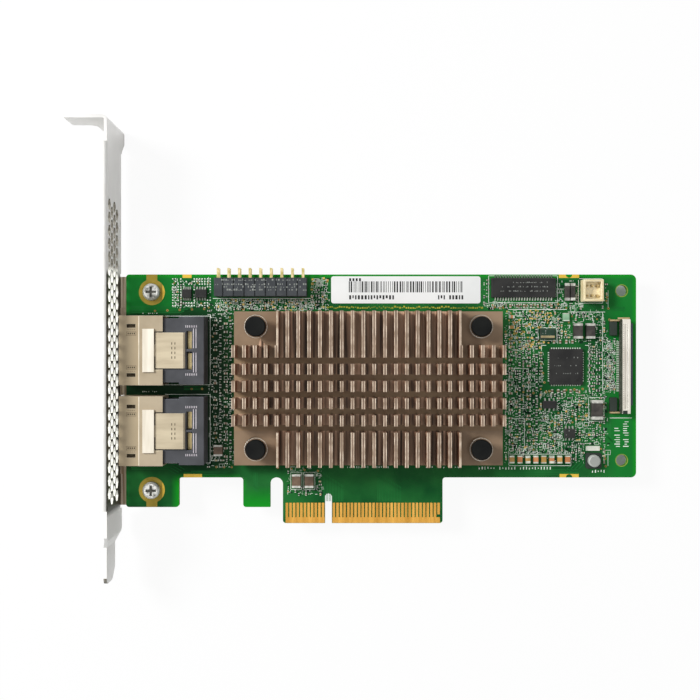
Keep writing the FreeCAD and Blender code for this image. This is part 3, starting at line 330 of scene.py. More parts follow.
def merged_copy(node):
    """The CAD node's mesh with its loose triangles joined into clean flat faces."""
    bm = bmesh.new()
    bm.from_mesh(nodes[node].data)
    bmesh.ops.remove_doubles(bm, verts=bm.verts, dist=MERGE_DISTANCE)
    bmesh.ops.dissolve_limit(bm, angle_limit=FLAT_ANGLE, verts=bm.verts, edges=bm.edges)
    return bm


def paint(node, material):
    """Gives a CAD node that stays its finish."""
    data = nodes[node].data
    data.materials.clear()
    data.materials.append(material)


def corners(node):
    """The lowest and the highest corner of a CAD node."""
    return [Vector(corner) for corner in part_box(node)]


board_low, board_high = corners("circuit_board")
mask = finish("solder_mask", (6, 72, 30), (34, 108, 48), 0.42, specular=0.06, cloud_scale=70,
              grain_scale=1500)
tree = mask.node_tree
x, y = position(tree)[:2]
# Painted shade, with a darker mask: the board darkens between the connectors and the heat sink, where the
# tall parts shade it
shade = worked(tree, "MULTIPLY", ramp(tree, x, *DARK_RIGHT), ramp(tree, y, *DARK_TOP))
shade = worked(tree, "MULTIPLY", shade, ramp(tree, y, *DARK_BOTTOM, 0.0, DARK_SHARE))
lay_over(mask, shade, (5, 28, 12))
# The mask is lighter green in the upper left corner and at the right end
lighter_patch = worked(tree, "MULTIPLY", ramp(tree, x, *LIGHTER_LEFT), ramp(tree, y, *LIGHTER_TOP))
lighter_patch = worked(tree, "MAXIMUM", lighter_patch, ramp(tree, x, *LIGHTER_RIGHT))
lay_over(mask, worked(tree, "MULTIPLY", lighter_patch, LIGHTER_SHARE), (18, 132, 46))
nearest = worked(tree, "MINIMUM", worked(tree, "SUBTRACT", board_high.x, x),
                 worked(tree, "SUBTRACT", board_high.y, y))
edge_light = ramp(tree, nearest, *EDGE_BAND, 0.0, EDGE_SHARE)
on_tab = worked(tree, "MULTIPLY", worked(tree, "GREATER_THAN", x, TAB_SPAN[0]),
                worked(tree, "LESS_THAN", x, TAB_SPAN[1]))
tab_glow = worked(tree, "MAXIMUM", ramp(tree, x, *TAB_SIDE, 0.0, TAB_SIDE_SHARE),
                  ramp(tree, y, *TAB_HANGING))
tab_glow = worked(tree, "MULTIPLY", worked(tree, "MULTIPLY", on_tab, tab_glow), ramp(tree, y, *TAB_FADE))
on_lobe = worked(tree, "MULTIPLY", ramp(tree, x, *LOBE_EDGE), ramp(tree, y, *LOBE_TOP))
on_lobe = worked(tree, "MULTIPLY", on_lobe, worked(tree, "LESS_THAN", x, TAB_SPAN[0]))
glow = worked(tree, "MAXIMUM", tab_glow, on_lobe)
lay_over(mask, worked(tree, "MAXIMUM", edge_light, glow), (16, 146, 30))
laminate = finish("bare_laminate", (70, 120, 30), (110, 160, 50), 0.55, cloud_scale=900, grain_scale=4000)

bm = merged_copy("circuit_board")
for face in bm.faces:
    face.material_index = 0 if abs(face.normal.z) > 0.9 else 1
show("board", bm, [mask, laminate], "board", ["circuit_board"])

# Traces and plated holes: copper tracks that show as faint lighter lines under the mask, and small
# tinned-and-gold vias beside the chips and between the parts.
TRACE_LIFT = 0.006 * MM
VIA_LIFT = 0.012 * MM
HOLE_LIFT = 0.004 * MM
TRACE_WIDTH = 0.16 * MM
TRACE_PITCH = 0.42 * MM
TRACE_SHARE = 0.62
TRACE_SHARE_STEP = 0.05
BEND_SHARE = 0.16
VIA_RADIUS = 0.33 * MM
VIA_HOLE_SHARE = 0.45
TRACE_BUNDLES = [
    # start x, start y, direction in degrees, length, tracks, bend
    (46.0, 13.6, 0, 30.0, 4, 45),
    (-40.0, 37.0, 0, 7.0, 3, 45),
    (-54.5, 58.4, 0, 22.0, 5, 20),
    (-38.0, 13.6, 0, 12.0, 3, 0),
    (-20.6, 14.0, -90, 6.0, 3, 0),
    (-8.5, 15.6, 0, 9.0, 4, -45),
    (4.0, 6.2, 90, 5.5, 14, 0),
    (20.0, 6.2, 90, 5.0, 16, 0),
    (66.0, 59.6, 0, 9.0, 4, -45),
    (79.0, 59.0, 0, 4.0, 3, -60),
    (61.5, 34.6, -90, 8.0, 5, 45),
    (76.9, 30.0, -90, 9.0, 4, 45),
    (-54.5, 15.0, 0, 16.0, 4, -30),
]
VIA_ROWS = [
    # first x, first y, step x, step y, count
    (-48.0, 58.8, 3.4, 0.15, 5),
    (46.0, 59.9, 2.2, 0.1, 9),
    (59.0, 44.2, 0.4, -2.6, 4),
    (61.2, 36.6, 2.3, 0.15, 5),
    (76.4, 20.0, 0.2, -2.1, 3),
    (-37.9, 37.2, 2.9, 0.0, 2),
    (-14.0, 15.4, 3.7, -0.3, 4),
    (77.2, 62.6, 0.3, -3.1, 3),
    (60.0, 29.0, 1.9, -0.8, 6),
    (70.3, 28.7, 1.3, 1.4, 4),
    (52.0, 33.4, 1.6, 0.9, 4),
    (-31.0, 15.6, 2.1, 0.0, 3),
]


def flat_patch(bm, place, sides, index):
    """A flat rectangle about a place."""
    made = bmesh.ops.create_grid(bm, x_segments=1, y_segments=1, size=0.5,
                                 matrix=place @ Matrix.Diagonal((*sides, 1, 1)))
    for face in made["verts"][0].link_faces:
        face.material_index = index


def mark(bm, x, y, z, index=0):
    """A flat printed or plated patch between two values of x and of y."""
    place = Matrix.Translation(((x[0] + x[1]) / 2, (y[0] + y[1]) / 2, z))
    flat_patch(bm, place, (x[1] - x[0], y[1] - y[0]), index)


def track(bm, start, heading, length):
    """A straight track from a point, and where it ends."""
    way = Vector((math.cos(heading), math.sin(heading), 0))
    middle = start + way * length / 2
    turn = Matrix.Translation((middle.x, middle.y, TRACE_LIFT)) @ Matrix.Rotation(heading, 4, "Z")
    flat_patch(bm, turn, (length + TRACE_WIDTH, TRACE_WIDTH), 0)
    return start + way * length


def disc(bm, x, y, z, radius, sides, index=0):
    """A flat round patch."""
    made = bmesh.ops.create_circle(bm, cap_ends=True, segments=sides, radius=radius,
                                   matrix=Matrix.Translation((x, y, z)))
    for face in made["verts"][0].link_faces:
        face.material_index = index


buried_copper = finish("track_under_mask", (20, 100, 44), (40, 122, 58), 0.42, specular=0.06,
                       cloud_scale=90)
via_gold = finish("via_plating", (128, 104, 50), (168, 134, 72), 0.45, metallic=0.2, cloud_scale=600)
# via_hole: a dark disc of painted shade for each via's open hole
hole_dark = finish("via_hole", (38, 52, 26), (58, 66, 34), 0.6, specular=0.1, cloud_scale=800)
bm = bmesh.new()
for start_x, start_y, angle, length, tracks, bend in TRACE_BUNDLES:
    heading = math.radians(angle)
    aside = Vector((-math.sin(heading), math.cos(heading), 0)) * TRACE_PITCH
    for place in range(tracks):
        point = Vector((start_x * MM, start_y * MM, 0)) + aside * place
        point = track(bm, point, heading, length * MM * (TRACE_SHARE + TRACE_SHARE_STEP * place))
        track(bm, point, heading + math.radians(bend), length * MM * BEND_SHARE)
for first_x, first_y, step_x, step_y, count in VIA_ROWS:
    for place in range(count):
        via = ((first_x + step_x * place) * MM, (first_y + step_y * place) * MM)
        disc(bm, *via, VIA_LIFT, VIA_RADIUS, 10, 1)
        disc(bm, *via, VIA_LIFT + HOLE_LIFT, VIA_RADIUS * VIA_HOLE_SHARE, 8, 2)
show("tracks_and_vias", bm, [buried_copper, via_gold, hole_dark], "gold")

# Gold fingers and bare gold pads: copper plated with nickel and gold, flush with the mask. The fingers
# carry fine wear marks along their length, and a plated bar joins their feet at the bevel. A thin plated
# ring lies round each plain hole at the far end.
FOOT_BAR = (0.12 * MM, 1.7 * MM)
FOOT_BAR_LIFT = 0.004 * MM
EDGE_PADS_FROM = -46 * MM
HOLE_RING_WIDTH = 0.22 * MM
NOTCH_HALF = 1.05 * MM
gold = finish("finger_gold", (174, 126, 44), (202, 152, 66), 0.4, metallic=0.5, specular=0.3,
              cloud_scale=120, grain_scale=1200, stretch=(4, 0.3, 1), relief=0.01)
pad_gold = finish("pad_gold", (132, 114, 34), (160, 138, 50), 0.42, metallic=0.3, cloud_scale=200,
                  grain_scale=1500, relief=0.01)
tree = pad_gold.node_tree
on_edge = worked(tree, "GREATER_THAN", position(tree)["X"], EDGE_PADS_FROM)
lay_over(pad_gold, on_edge, (206, 170, 60))
rim_olive = finish("hole_rim", (120, 140, 50), (150, 168, 70), 0.45, cloud_scale=500)
paint("edge_contacts_front", gold)
paint("edge_contacts_back", gold)
paint("ground_pads", pad_gold)
finger_low, finger_high = corners("edge_contacts_front")
bm = bmesh.new()
for span in ((finger_low.x, -NOTCH_HALF), (NOTCH_HALF, finger_high.x)):
    mark(bm, span, [board_low.y + value for value in FOOT_BAR], finger_high.z + FOOT_BAR_LIFT)
show("finger_foot_bar", bm, [gold], "gold")
far_holes = next(mount for mount in frame["record"]["mounts"] if mount["name"] == "far_holes")
hole_radius = far_holes["dims"]["hole_r_mm"] * MM
hole_spacing = far_holes["dims"]["spacing_y_mm"]
bm = bmesh.new()
for side in (-1, 1):
    centre = (far_holes["pos_m"][0], far_holes["pos_m"][1] + side * hole_spacing / 2 * MM, VIA_LIFT)
    loops = []
    for radius in (hole_radius + HOLE_RING_WIDTH, hole_radius):
        made = bmesh.ops.create_circle(bm, segments=32, radius=radius, matrix=Matrix.Translation(centre))
        loops += dict.fromkeys(e for v in made["verts"] for e in v.link_edges)
    bmesh.ops.bridge_loops(bm, edges=loops)
show("hole_rims", bm, [rim_olive], "gold")

# The bracket: one sheet of zinc-plated steel, punched with staggered hexagons and folded. Its inner fold
# shows as a narrow strip beside the board, between the two screwed feet and the cable connectors; the strip
# also covers the bright gap there, and it and the feet's tops carry a painted tan reflection.
WALL_AREA = 2.6 * MM * MM
WEB_MARGIN = 2 * MM
WEB_GAP = 1 * MM
FOOT_REACH = 1.9 * MM
EAR_DEPTH = 7 * MM
OUTLINE = 0.2 * MM
FOOT_STRIP = 1.95 * MM
STRIP_GAP = 0.02 * MM
STRIP_OVERLAP = 0.1 * MM
STRIP_DEPTH = (1.3 * MM, 0.03 * MM)
BESIDE_BOARD = (4.2 * MM, 68.9 * MM)


def tone_beside_board(material, outside, inside, colour):
    """Lays painted shade or painted light over a finish where the web stands beside the board."""
    tree = material.node_tree
    y = position(tree)["Y"]
    low, high = BESIDE_BOARD
    by_board = worked(tree, "MULTIPLY", ramp(tree, y, low - outside, low + inside),
                      ramp(tree, y, high + outside, high - inside))
    lay_over(material, by_board, colour)


zinc = finish("zinc_plate", (226, 225, 222), (243, 242, 239), 0.42, specular=0.4, cloud_scale=60)
# zinc_outer: the same zinc plate, darker, painted shade on the bracket's outer face
zinc_outer = finish("zinc_outer", (184, 183, 179), (206, 205, 201), 0.42, specular=0.4, cloud_scale=60)
# zinc_inner: the same zinc plate, lighter, painted light on the inner face; beside the board it takes
# painted shade instead
zinc_inner = finish("zinc_inner", (246, 245, 242), (255, 254, 252), 0.42, specular=0.4,
                    cloud_scale=70, grain_scale=3500, gloss_spread=0.1)
tone_beside_board(zinc_inner, 0.5 * MM, 1 * MM, (64, 62, 50))
lit_edge = finish("zinc_lit_edge", (248, 247, 243), (255, 255, 252), 0.4, cloud_scale=200)
# zinc_outline: a darker copy of the zinc on the top rims' bevel, a painted shade line along their edges
zinc_line = finish("zinc_outline", (134, 130, 122), (164, 160, 150), 0.5, cloud_scale=300)
# punched_wall: painted shade on the holes' walls, and beside the board painted light, where the holes show
# bright
hole_wall = finish("punched_wall", (100, 96, 86), (150, 146, 136), 0.5, cloud_scale=1400)
tone_beside_board(hole_wall, 2 * MM, 0, (248, 248, 240))
# foot_bronze: the zinc of the feet and the strips, tinted tan as a painted reflection
foot_bronze = finish("foot_bronze", (150, 124, 100), (236, 214, 192), 0.4, specular=0.2,
                     cloud_scale=700, stretch=(2, 0.05, 1))


def block(bm, x, y, z, index=0):
    """A plain block between two values on each axis."""
    place = Matrix.Translation([(a + b) / 2 for a, b in (x, y, z)])
    size = Matrix.Diagonal((x[1] - x[0], y[1] - y[0], z[1] - z[0], 1))
    made = bmesh.ops.create_cube(bm, size=1, matrix=place @ size)["verts"]
    for face in {f for v in made for f in v.link_faces}:
        face.material_index = index
    return made


bm = merged_copy("bracket")
bracket_low, bracket_high = corners("bracket")
for face in bm.faces:
    centre = face.calc_center_median()
    in_web = centre.x < board_low.x - WEB_GAP and (
        bracket_low.z + WEB_MARGIN < centre.z < bracket_high.z - WEB_MARGIN)
    if in_web and abs(face.normal.x) < 0.2 and face.calc_area() < WALL_AREA:
        face.material_index = 2
    elif face.normal.z > 0.6 and centre.x > board_low.x - FOOT_REACH:
        face.material_index = 3
    elif face.normal.z > 0.6 and centre.y < bracket_high.y - EAR_DEPTH:
        face.material_index = 1
    elif abs(face.normal.x) > 0.5:
        face.material_index = 5 if face.normal.x > 0 else 6
feet = [v.co for f in bm.faces if f.material_index == 3 for v in f.verts]
foot_top = max(point.z for point in feet)
card_middle = (board_low.y + board_high.y) / 2
upper_foot_end = min(point.y for point in feet if point.y > card_middle)
lower_foot_end = max(point.y for point in feet if point.y < card_middle)
lower_cage, upper_cage = (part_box("cable_cage_" + name) for name in ("lower", "upper"))
# Strips in the gap beside the board, between the feet and the connectors: they cover the bright gap and
# carry the painted tan reflection
for low_end, high_end in ((upper_cage[1][1], upper_foot_end), (lower_foot_end, lower_cage[0][1]),
                          (lower_cage[1][1], upper_cage[0][1])):
    strip = (low_end - STRIP_OVERLAP, high_end + STRIP_OVERLAP)
    block(bm, (board_low.x - FOOT_STRIP, board_low.x - STRIP_GAP), strip,
          [foot_top - value for value in STRIP_DEPTH], 3)
rims = [e for e in bm.edges if min(v.co.z for v in e.verts) > bracket_high.z - 0.01 * MM
        and len(e.link_faces) == 2 and e.calc_face_angle() > 1]
bmesh.ops.bevel(bm, geom=rims, offset=OUTLINE, offset_type="OFFSET", segments=1, profile=0.5,
                affect="EDGES", material=4, clamp_overlap=True)
show("folded_bracket", bm, [zinc, lit_edge, hole_wall, foot_bronze, zinc_line, zinc_inner, zinc_outer],
     "bracket_steel", ["bracket"])

# Two pan-head screws of nickel-plated steel, each with a pressed cross recess. They go through the ringed
# holes of the board into the bracket's feet.
HEAD_EDGE = 0.22 * MM
RECESS_REACH = 1.75 * MM
RECESS_DEPTH = 1.6 * MM
RECESS_RIM = 0.7 * MM
nickel = finish("bright_nickel", (104, 104, 96), (228, 228, 222), 0.28, metallic=0.4, cloud_scale=900)
# screw_recess: painted shade in the cross recess
nickel_recess = finish("screw_recess", (80, 80, 74), (122, 122, 114), 0.5, metallic=0.4, cloud_scale=900)
# screw_rim: painted highlight round the head's edge
nickel_rim = finish("screw_rim", (206, 206, 200), (236, 236, 232), 0.3, metallic=0.3, cloud_scale=900)
for name in ("upper", "lower"):
    low, high = corners("bracket_screw_" + name)
    middle = (low + high) / 2
    bm = merged_copy("bracket_screw_" + name)
    for face in bm.faces:
        centre = face.calc_center_median()
        from_axis = (Vector((centre.x, centre.y)) - Vector((middle.x, middle.y))).length
        if from_axis < RECESS_REACH and centre.z > high.z - RECESS_DEPTH and (
                face.normal.z < 0.3 or centre.z < high.z - RECESS_RIM):
            face.material_index = 1
        elif from_axis > (high.x - low.x) / 2 - 3 * HEAD_EDGE and face.normal.z > 0.2:
            face.material_index = 2
    show("screw_" + name, bm, [nickel, nickel_recess, nickel_rim], "screw_steel", ["bracket_screw_" + name])

# The heat sink: one extruded block, cross-cut into fins, spot-faced round its four pins and anodised brown.
# Each fin's top has a narrow lighter rim along both of its long sides: partly the bright edge that the saw
# leaves, partly a painted highlight.
FIN_RIM = 0.19 * MM
FLAT_REACH = 12.4 * MM
FLAT_DEPTH = 9.6 * MM
# The streaks along the fins are partly the anodising's own drift, partly painted light and shade for the
# lit and shaded bands between the fins
anodised = finish("brown_anodised", (74, 56, 42), (208, 172, 144), 0.45, specular=0.15,
                  cloud_scale=1500, grain_scale=2600, stretch=(1, 0.02, 0.05))
flat_tone = finish("brown_flat", (134, 112, 90), (150, 127, 103), 0.45, specular=0.15, cloud_scale=90,
                   grain_scale=2600)
fin_side = finish("fin_side", (128, 94, 72), (176, 136, 110), 0.42, specular=0.2,
                  cloud_scale=260, grain_scale=2600, stretch=(1, 0.2, 1))
fin_top_finish = finish("fin_top", (116, 96, 80), (150, 128, 110), 0.4, specular=0.25,
                        cloud_scale=300, grain_scale=2600)
# polish_and_highlight: the fin tops' rims, lighter as a painted highlight
polish_and_highlight = finish("polished_edge", (170, 146, 120), (240, 220, 196), 0.3, specular=0.4,
                  cloud_scale=420, grain_scale=2600)
row_shade = finish("cross_cut_floor", (130, 106, 80), (154, 130, 102), 0.45, specular=0.15, cloud_scale=200,
                   grain_scale=2600, stretch=(0.3, 1, 1))
bm = merged_copy("heat_sink")
sink_low, sink_high = corners("heat_sink")
for face in bm.faces:
    if face.normal.z > 0.9 and face.calc_center_median().z > sink_high.z - 1e-6:
        face.material_index = 2
    elif abs(face.normal.x) > 0.9:
        face.material_index = 1
tops = [f for f in bm.faces if f.material_index == 2]
for face in bmesh.ops.inset_individual(bm, faces=tops, thickness=FIN_RIM, use_even_offset=True)["faces"]:
    across = max(v.co.x for v in face.verts) - min(v.co.x for v in face.verts)
    along = max(v.co.y for v in face.verts) - min(v.co.y for v in face.verts)
    face.material_index = 3 if along > across else 2
# The base's top is split into the flats round the pins, the floors between the fins, and the cross-cuts
fin_rows = sorted({(round(min(v.co.y for v in f.verts) - FIN_RIM, 5),
                    round(max(v.co.y for v in f.verts) + FIN_RIM, 5)) for f in tops})
cuts = [(a[1], b[0]) for a, b in zip(fin_rows, fin_rows[1:]) if 1 * MM < b[0] - a[1] < 3 * MM]
lines_x = [sink_low.x + FLAT_REACH, sink_high.x - FLAT_REACH]
planes = [((0, value, 0), (0, 1, 0)) for cut in cuts for value in cut]
planes += [((value, 0, 0), (1, 0, 0)) for value in lines_x]
for place, direction in planes:
    bmesh.ops.bisect_plane(bm, geom=bm.verts[:] + bm.edges[:] + bm.faces[:], plane_co=place,
                           plane_no=direction)
for face in bm.faces:
    if face.normal.z < 0.9 or face.material_index in (2, 3):
        continue
    centre = face.calc_center_bounds()
    if any(low < centre.y < high for low, high in cuts):
        face.material_index = 5
    elif not lines_x[0] < centre.x < lines_x[1] and not (
            sink_low.y + FLAT_DEPTH < centre.y < sink_high.y - FLAT_DEPTH):
        face.material_index = 4
show("finned_sink", bm, [anodised, fin_side, fin_top_finish, polish_and_highlight, flat_tone, row_shade],
     "brown_aluminium", ["heat_sink"])

# Push pins of black nylon, moulded in one piece, with steel coil springs under their heads. Each spring's
# closed top coil is a little wider than the head that it bears on.
SPRING_TURNS = 3
SPRING_STEPS = 20
SPRING_WIRE = 0.45 * MM
WIRE_SIDES = 8
SEAT_WIRE = 0.13 * MM
SEAT_STEPS = 48
SEAT_BEYOND_HEAD = 0.32 * MM


def wire_section(bm, x, y, z, wire):
    """The round section of a wire, standing across its run."""
    ring = bmesh.ops.create_circle(bm, segments=WIRE_SIDES, radius=wire / 2)["verts"]
    bmesh.ops.rotate(bm, verts=ring, cent=(0, 0, 0), matrix=Matrix.Rotation(math.pi / 2, 3, "X"))
    bmesh.ops.translate(bm, verts=ring, vec=(x, y, z))
    return ring


nylon = finish("black_nylon", (20, 21, 21), (28, 29, 28), 0.5, specular=0.05, cloud_scale=200)
spring_steel = finish("spring_wire", (196, 190, 178), (232, 226, 214), 0.3, metallic=0.3, specular=0.4)
for side in ("upper_left", "upper_right", "lower_left", "lower_right"):
    paint("push_pin_" + side, nylon)
    low, high = corners("push_pin_spring_" + side)
    middle = (low + high) / 2
    radius = (high.x - low.x) / 2 - SPRING_WIRE / 2
    bm = bmesh.new()
    wire_section(bm, middle.x + radius, middle.y, low.z + SPRING_WIRE / 2, SPRING_WIRE)
    steps = SPRING_TURNS * SPRING_STEPS
    rise = (high.z - low.z - SPRING_WIRE) / steps
    bmesh.ops.spin(bm, geom=bm.edges[:], cent=middle, axis=(0, 0, 1), dvec=(0, 0, rise),
                   angle=2 * math.pi * SPRING_TURNS, steps=steps, use_merge=False)
    ends = [e for e in bm.edges if e.is_boundary]
    bmesh.ops.contextual_create(bm, geom=ends[:WIRE_SIDES])
    bmesh.ops.contextual_create(bm, geom=[e for e in bm.edges if e.is_boundary])
    head_low, head_high = corners("push_pin_" + side)
    coil_radius = (head_high.x - head_low.x) / 2 + SEAT_BEYOND_HEAD
    ring = wire_section(bm, middle.x + coil_radius, middle.y, high.z - SEAT_WIRE, SEAT_WIRE)
    loop = list(dict.fromkeys(edge for vert in ring for edge in vert.link_edges))
    bmesh.ops.spin(bm, geom=ring + loop, cent=middle, axis=(0, 0, 1), angle=2 * math.pi,
                   steps=SEAT_STEPS, use_merge=True)
    bmesh.ops.recalc_face_normals(bm, faces=bm.faces)
    for face in bm.faces:
        face.smooth = True
    show("pin_spring_" + side, bm, [spring_steel], "spring_steel", ["push_pin_spring_" + side])

# The controller is a black moulded chip under the heat sink, with a soft grey thermal pad between them.
# Both are seen only from low down.
gap_pad = finish("grey_gap_pad", (150, 154, 158), (172, 176, 180), 0.7)
mould = finish("chip_mould", (46, 46, 46), (56, 56, 55), 0.55, specular=0.05, cloud_scale=250,
               grain_scale=4000)
paint("thermal_pad", gap_pad)
paint("controller_chip", mould)

# Cable connectors: a stamped, tin-plated shell over the mouth, with a sprung flap that runs back over a
# dark moulded housing. The housing has two windows over its gold-plated contacts, and two pale ribs on its
# top, a painted reflection off its slots.
EDGE_BREAK = 0.11 * MM
SHARP_ANGLE = math.radians(40)
SHELL_TOP_DEPTH = 2.5 * MM
HOUSING_TOP_DEPTH = 1.0 * MM
LATCH_SKIN = 0.05 * MM
RIB_WIDTH = 0.16 * MM
RIB_FROM_BACK = (2.78, 2.10)
RIB_SPANS = ((-5.9 * MM, -0.6 * MM), (0.6 * MM, 5.9 * MM))
SUNK = 0.02 * MM
RIB_PROUD = 0.06 * MM
WINDOW_FROM_BACK = (4.66, 3.24)
WINDOW_PLATE_Z = (5.46 * MM, 5.75 * MM)
WINDOW_SPANS = ((-5.15, -0.75), (0.75, 5.15))
RIDGE_FROM = 0.75 * MM
RIDGE_WIDTH = 0.3 * MM
RIDGE_HEIGHT = 0.15 * MM
TICK_COUNT = 7
TICK_FROM_BACK = 4.9 * MM
TICK_STEP = 0.48
TICK_WIDTH = 0.14 * MM
TICK_HALF = 0.3 * MM
TICK_REACH = 6.45 * MM
TICK_PROUD = 0.03 * MM
FLAP_FROM_MOUTH = 9.75 * MM
FLAP_HALF = 5 * MM
STEP_FROM_MOUTH = 5.4 * MM
STEP_SOFT = 0.1 * MM
ROOF_DROP = 0.9 * MM
FLAP_DROP = 0.55 * MM
STAMP_LIFT = 0.012 * MM
WINDOW_FROM_MOUTH = (2.1 * MM, 4.5 * MM)
WINDOW_REACH = 6.6 * MM
WINDOW_HALF = 0.5 * MM
STAMP_REACH = 4.55 * MM
STAMP_LINE = 0.12 * MM
STAMP_PAST_WINDOW = (-0.1 * MM, 0.2 * MM)
STAMP_SPAN = (-0.55 * MM, 0.5 * MM)
WINDOW_SUNK = 0.2 * MM
FOLD_LINE = (-0.03 * MM, 0.16 * MM)
FOLD_INSET = 0.15 * MM
FOLD_HEIGHT = 0.37 * MM
DENT_FIRST = 0.3
DENT_STEP = 0.55
DENT_SPAN = (-0.22 * MM, 0.2 * MM)
SMALL_DENT_HALF = 0.08 * MM
DENT_COUNT = 4
DENT_PITCH = 1.25
DENT_FROM_BACK = 8.6 * MM
DENT_PAIR = (0, 0.85)
FLAP_DENT = (-0.34 * MM, 0.3 * MM)
FLAP_DENT_WIDTH = 0.2 * MM


def outline(bm, x, y, z, line, index=0):
    """A frame of four thin flat lines."""
    for across in ((x[0], x[0] + line), (x[1] - line, x[1])):
        mark(bm, across, y, z, index)
    for along in ((y[0], y[0] + line), (y[1] - line, y[1])):
        mark(bm, x, along, z, index)


def edged_copy(node, width, edge_index=1, above=None):
    """A copy of a CAD node whose sharp outer edges are broken by a narrow bevel."""
    bm = merged_copy(node)
    sharp = []
    for edge in bm.edges:
        if len(edge.link_faces) == 2 and edge.is_convex and edge.calc_face_angle() > SHARP_ANGLE:
            if above is None or max(v.co.z for v in edge.verts) > above:
                sharp.append(edge)
    bmesh.ops.bevel(bm, geom=sharp, offset=width, offset_type="OFFSET", segments=1, profile=0.5,
                    affect="EDGES", material=edge_index, clamp_overlap=True)
    return bm


tin = finish("tin_plate", (168, 153, 128), (184, 169, 144), 0.5, specular=0.2,
             cloud_scale=130, grain_scale=3200)
# Painted shade: the shell is a little darker before its step, towards the mouth
cage_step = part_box("cable_cage_upper")[0][0] + STEP_FROM_MOUTH
before_step = ramp(tin.node_tree, position(tin.node_tree)["X"], cage_step + STEP_SOFT,
                   cage_step - STEP_SOFT, 0.0, 0.7)
lay_over(tin, before_step, (168, 151, 122))
# tin_edge: painted highlight on the shell's broken edges and along its fold
tin_edge = finish("tin_edge", (224, 214, 192), (244, 236, 218), 0.4, metallic=0.1, specular=0.3,
                  cloud_scale=300)
# tin_dent: painted shade in the stamped lines and small dents
tin_dent = finish("tin_dent", (112, 100, 78), (132, 120, 96), 0.5, specular=0.1, cloud_scale=900)
# tin_latch: painted highlight on the top of the raised latch
tin_latch = finish("tin_latch", (228, 219, 200), (246, 238, 222), 0.45, specular=0.3,
                   cloud_scale=200, stretch=(3, 0.3, 1))
tin_flap = finish("tin_flap", (176, 162, 136), (204, 190, 162), 0.45, metallic=0.1, specular=0.3,
                  cloud_scale=160, stretch=(0.4, 2, 1))
tin_shadow = finish("stamped_hollow", (40, 34, 24), (66, 58, 44), 0.6, specular=0.05, cloud_scale=900)
slate = finish("slate_moulding", (70, 71, 74), (84, 85, 89), 0.55, specular=0.08, cloud_scale=150)
# slate_edge: painted highlight on the housing's broken edges
slate_edge = finish("slate_edge", (90, 92, 98), (106, 108, 115), 0.5, specular=0.08, cloud_scale=300)
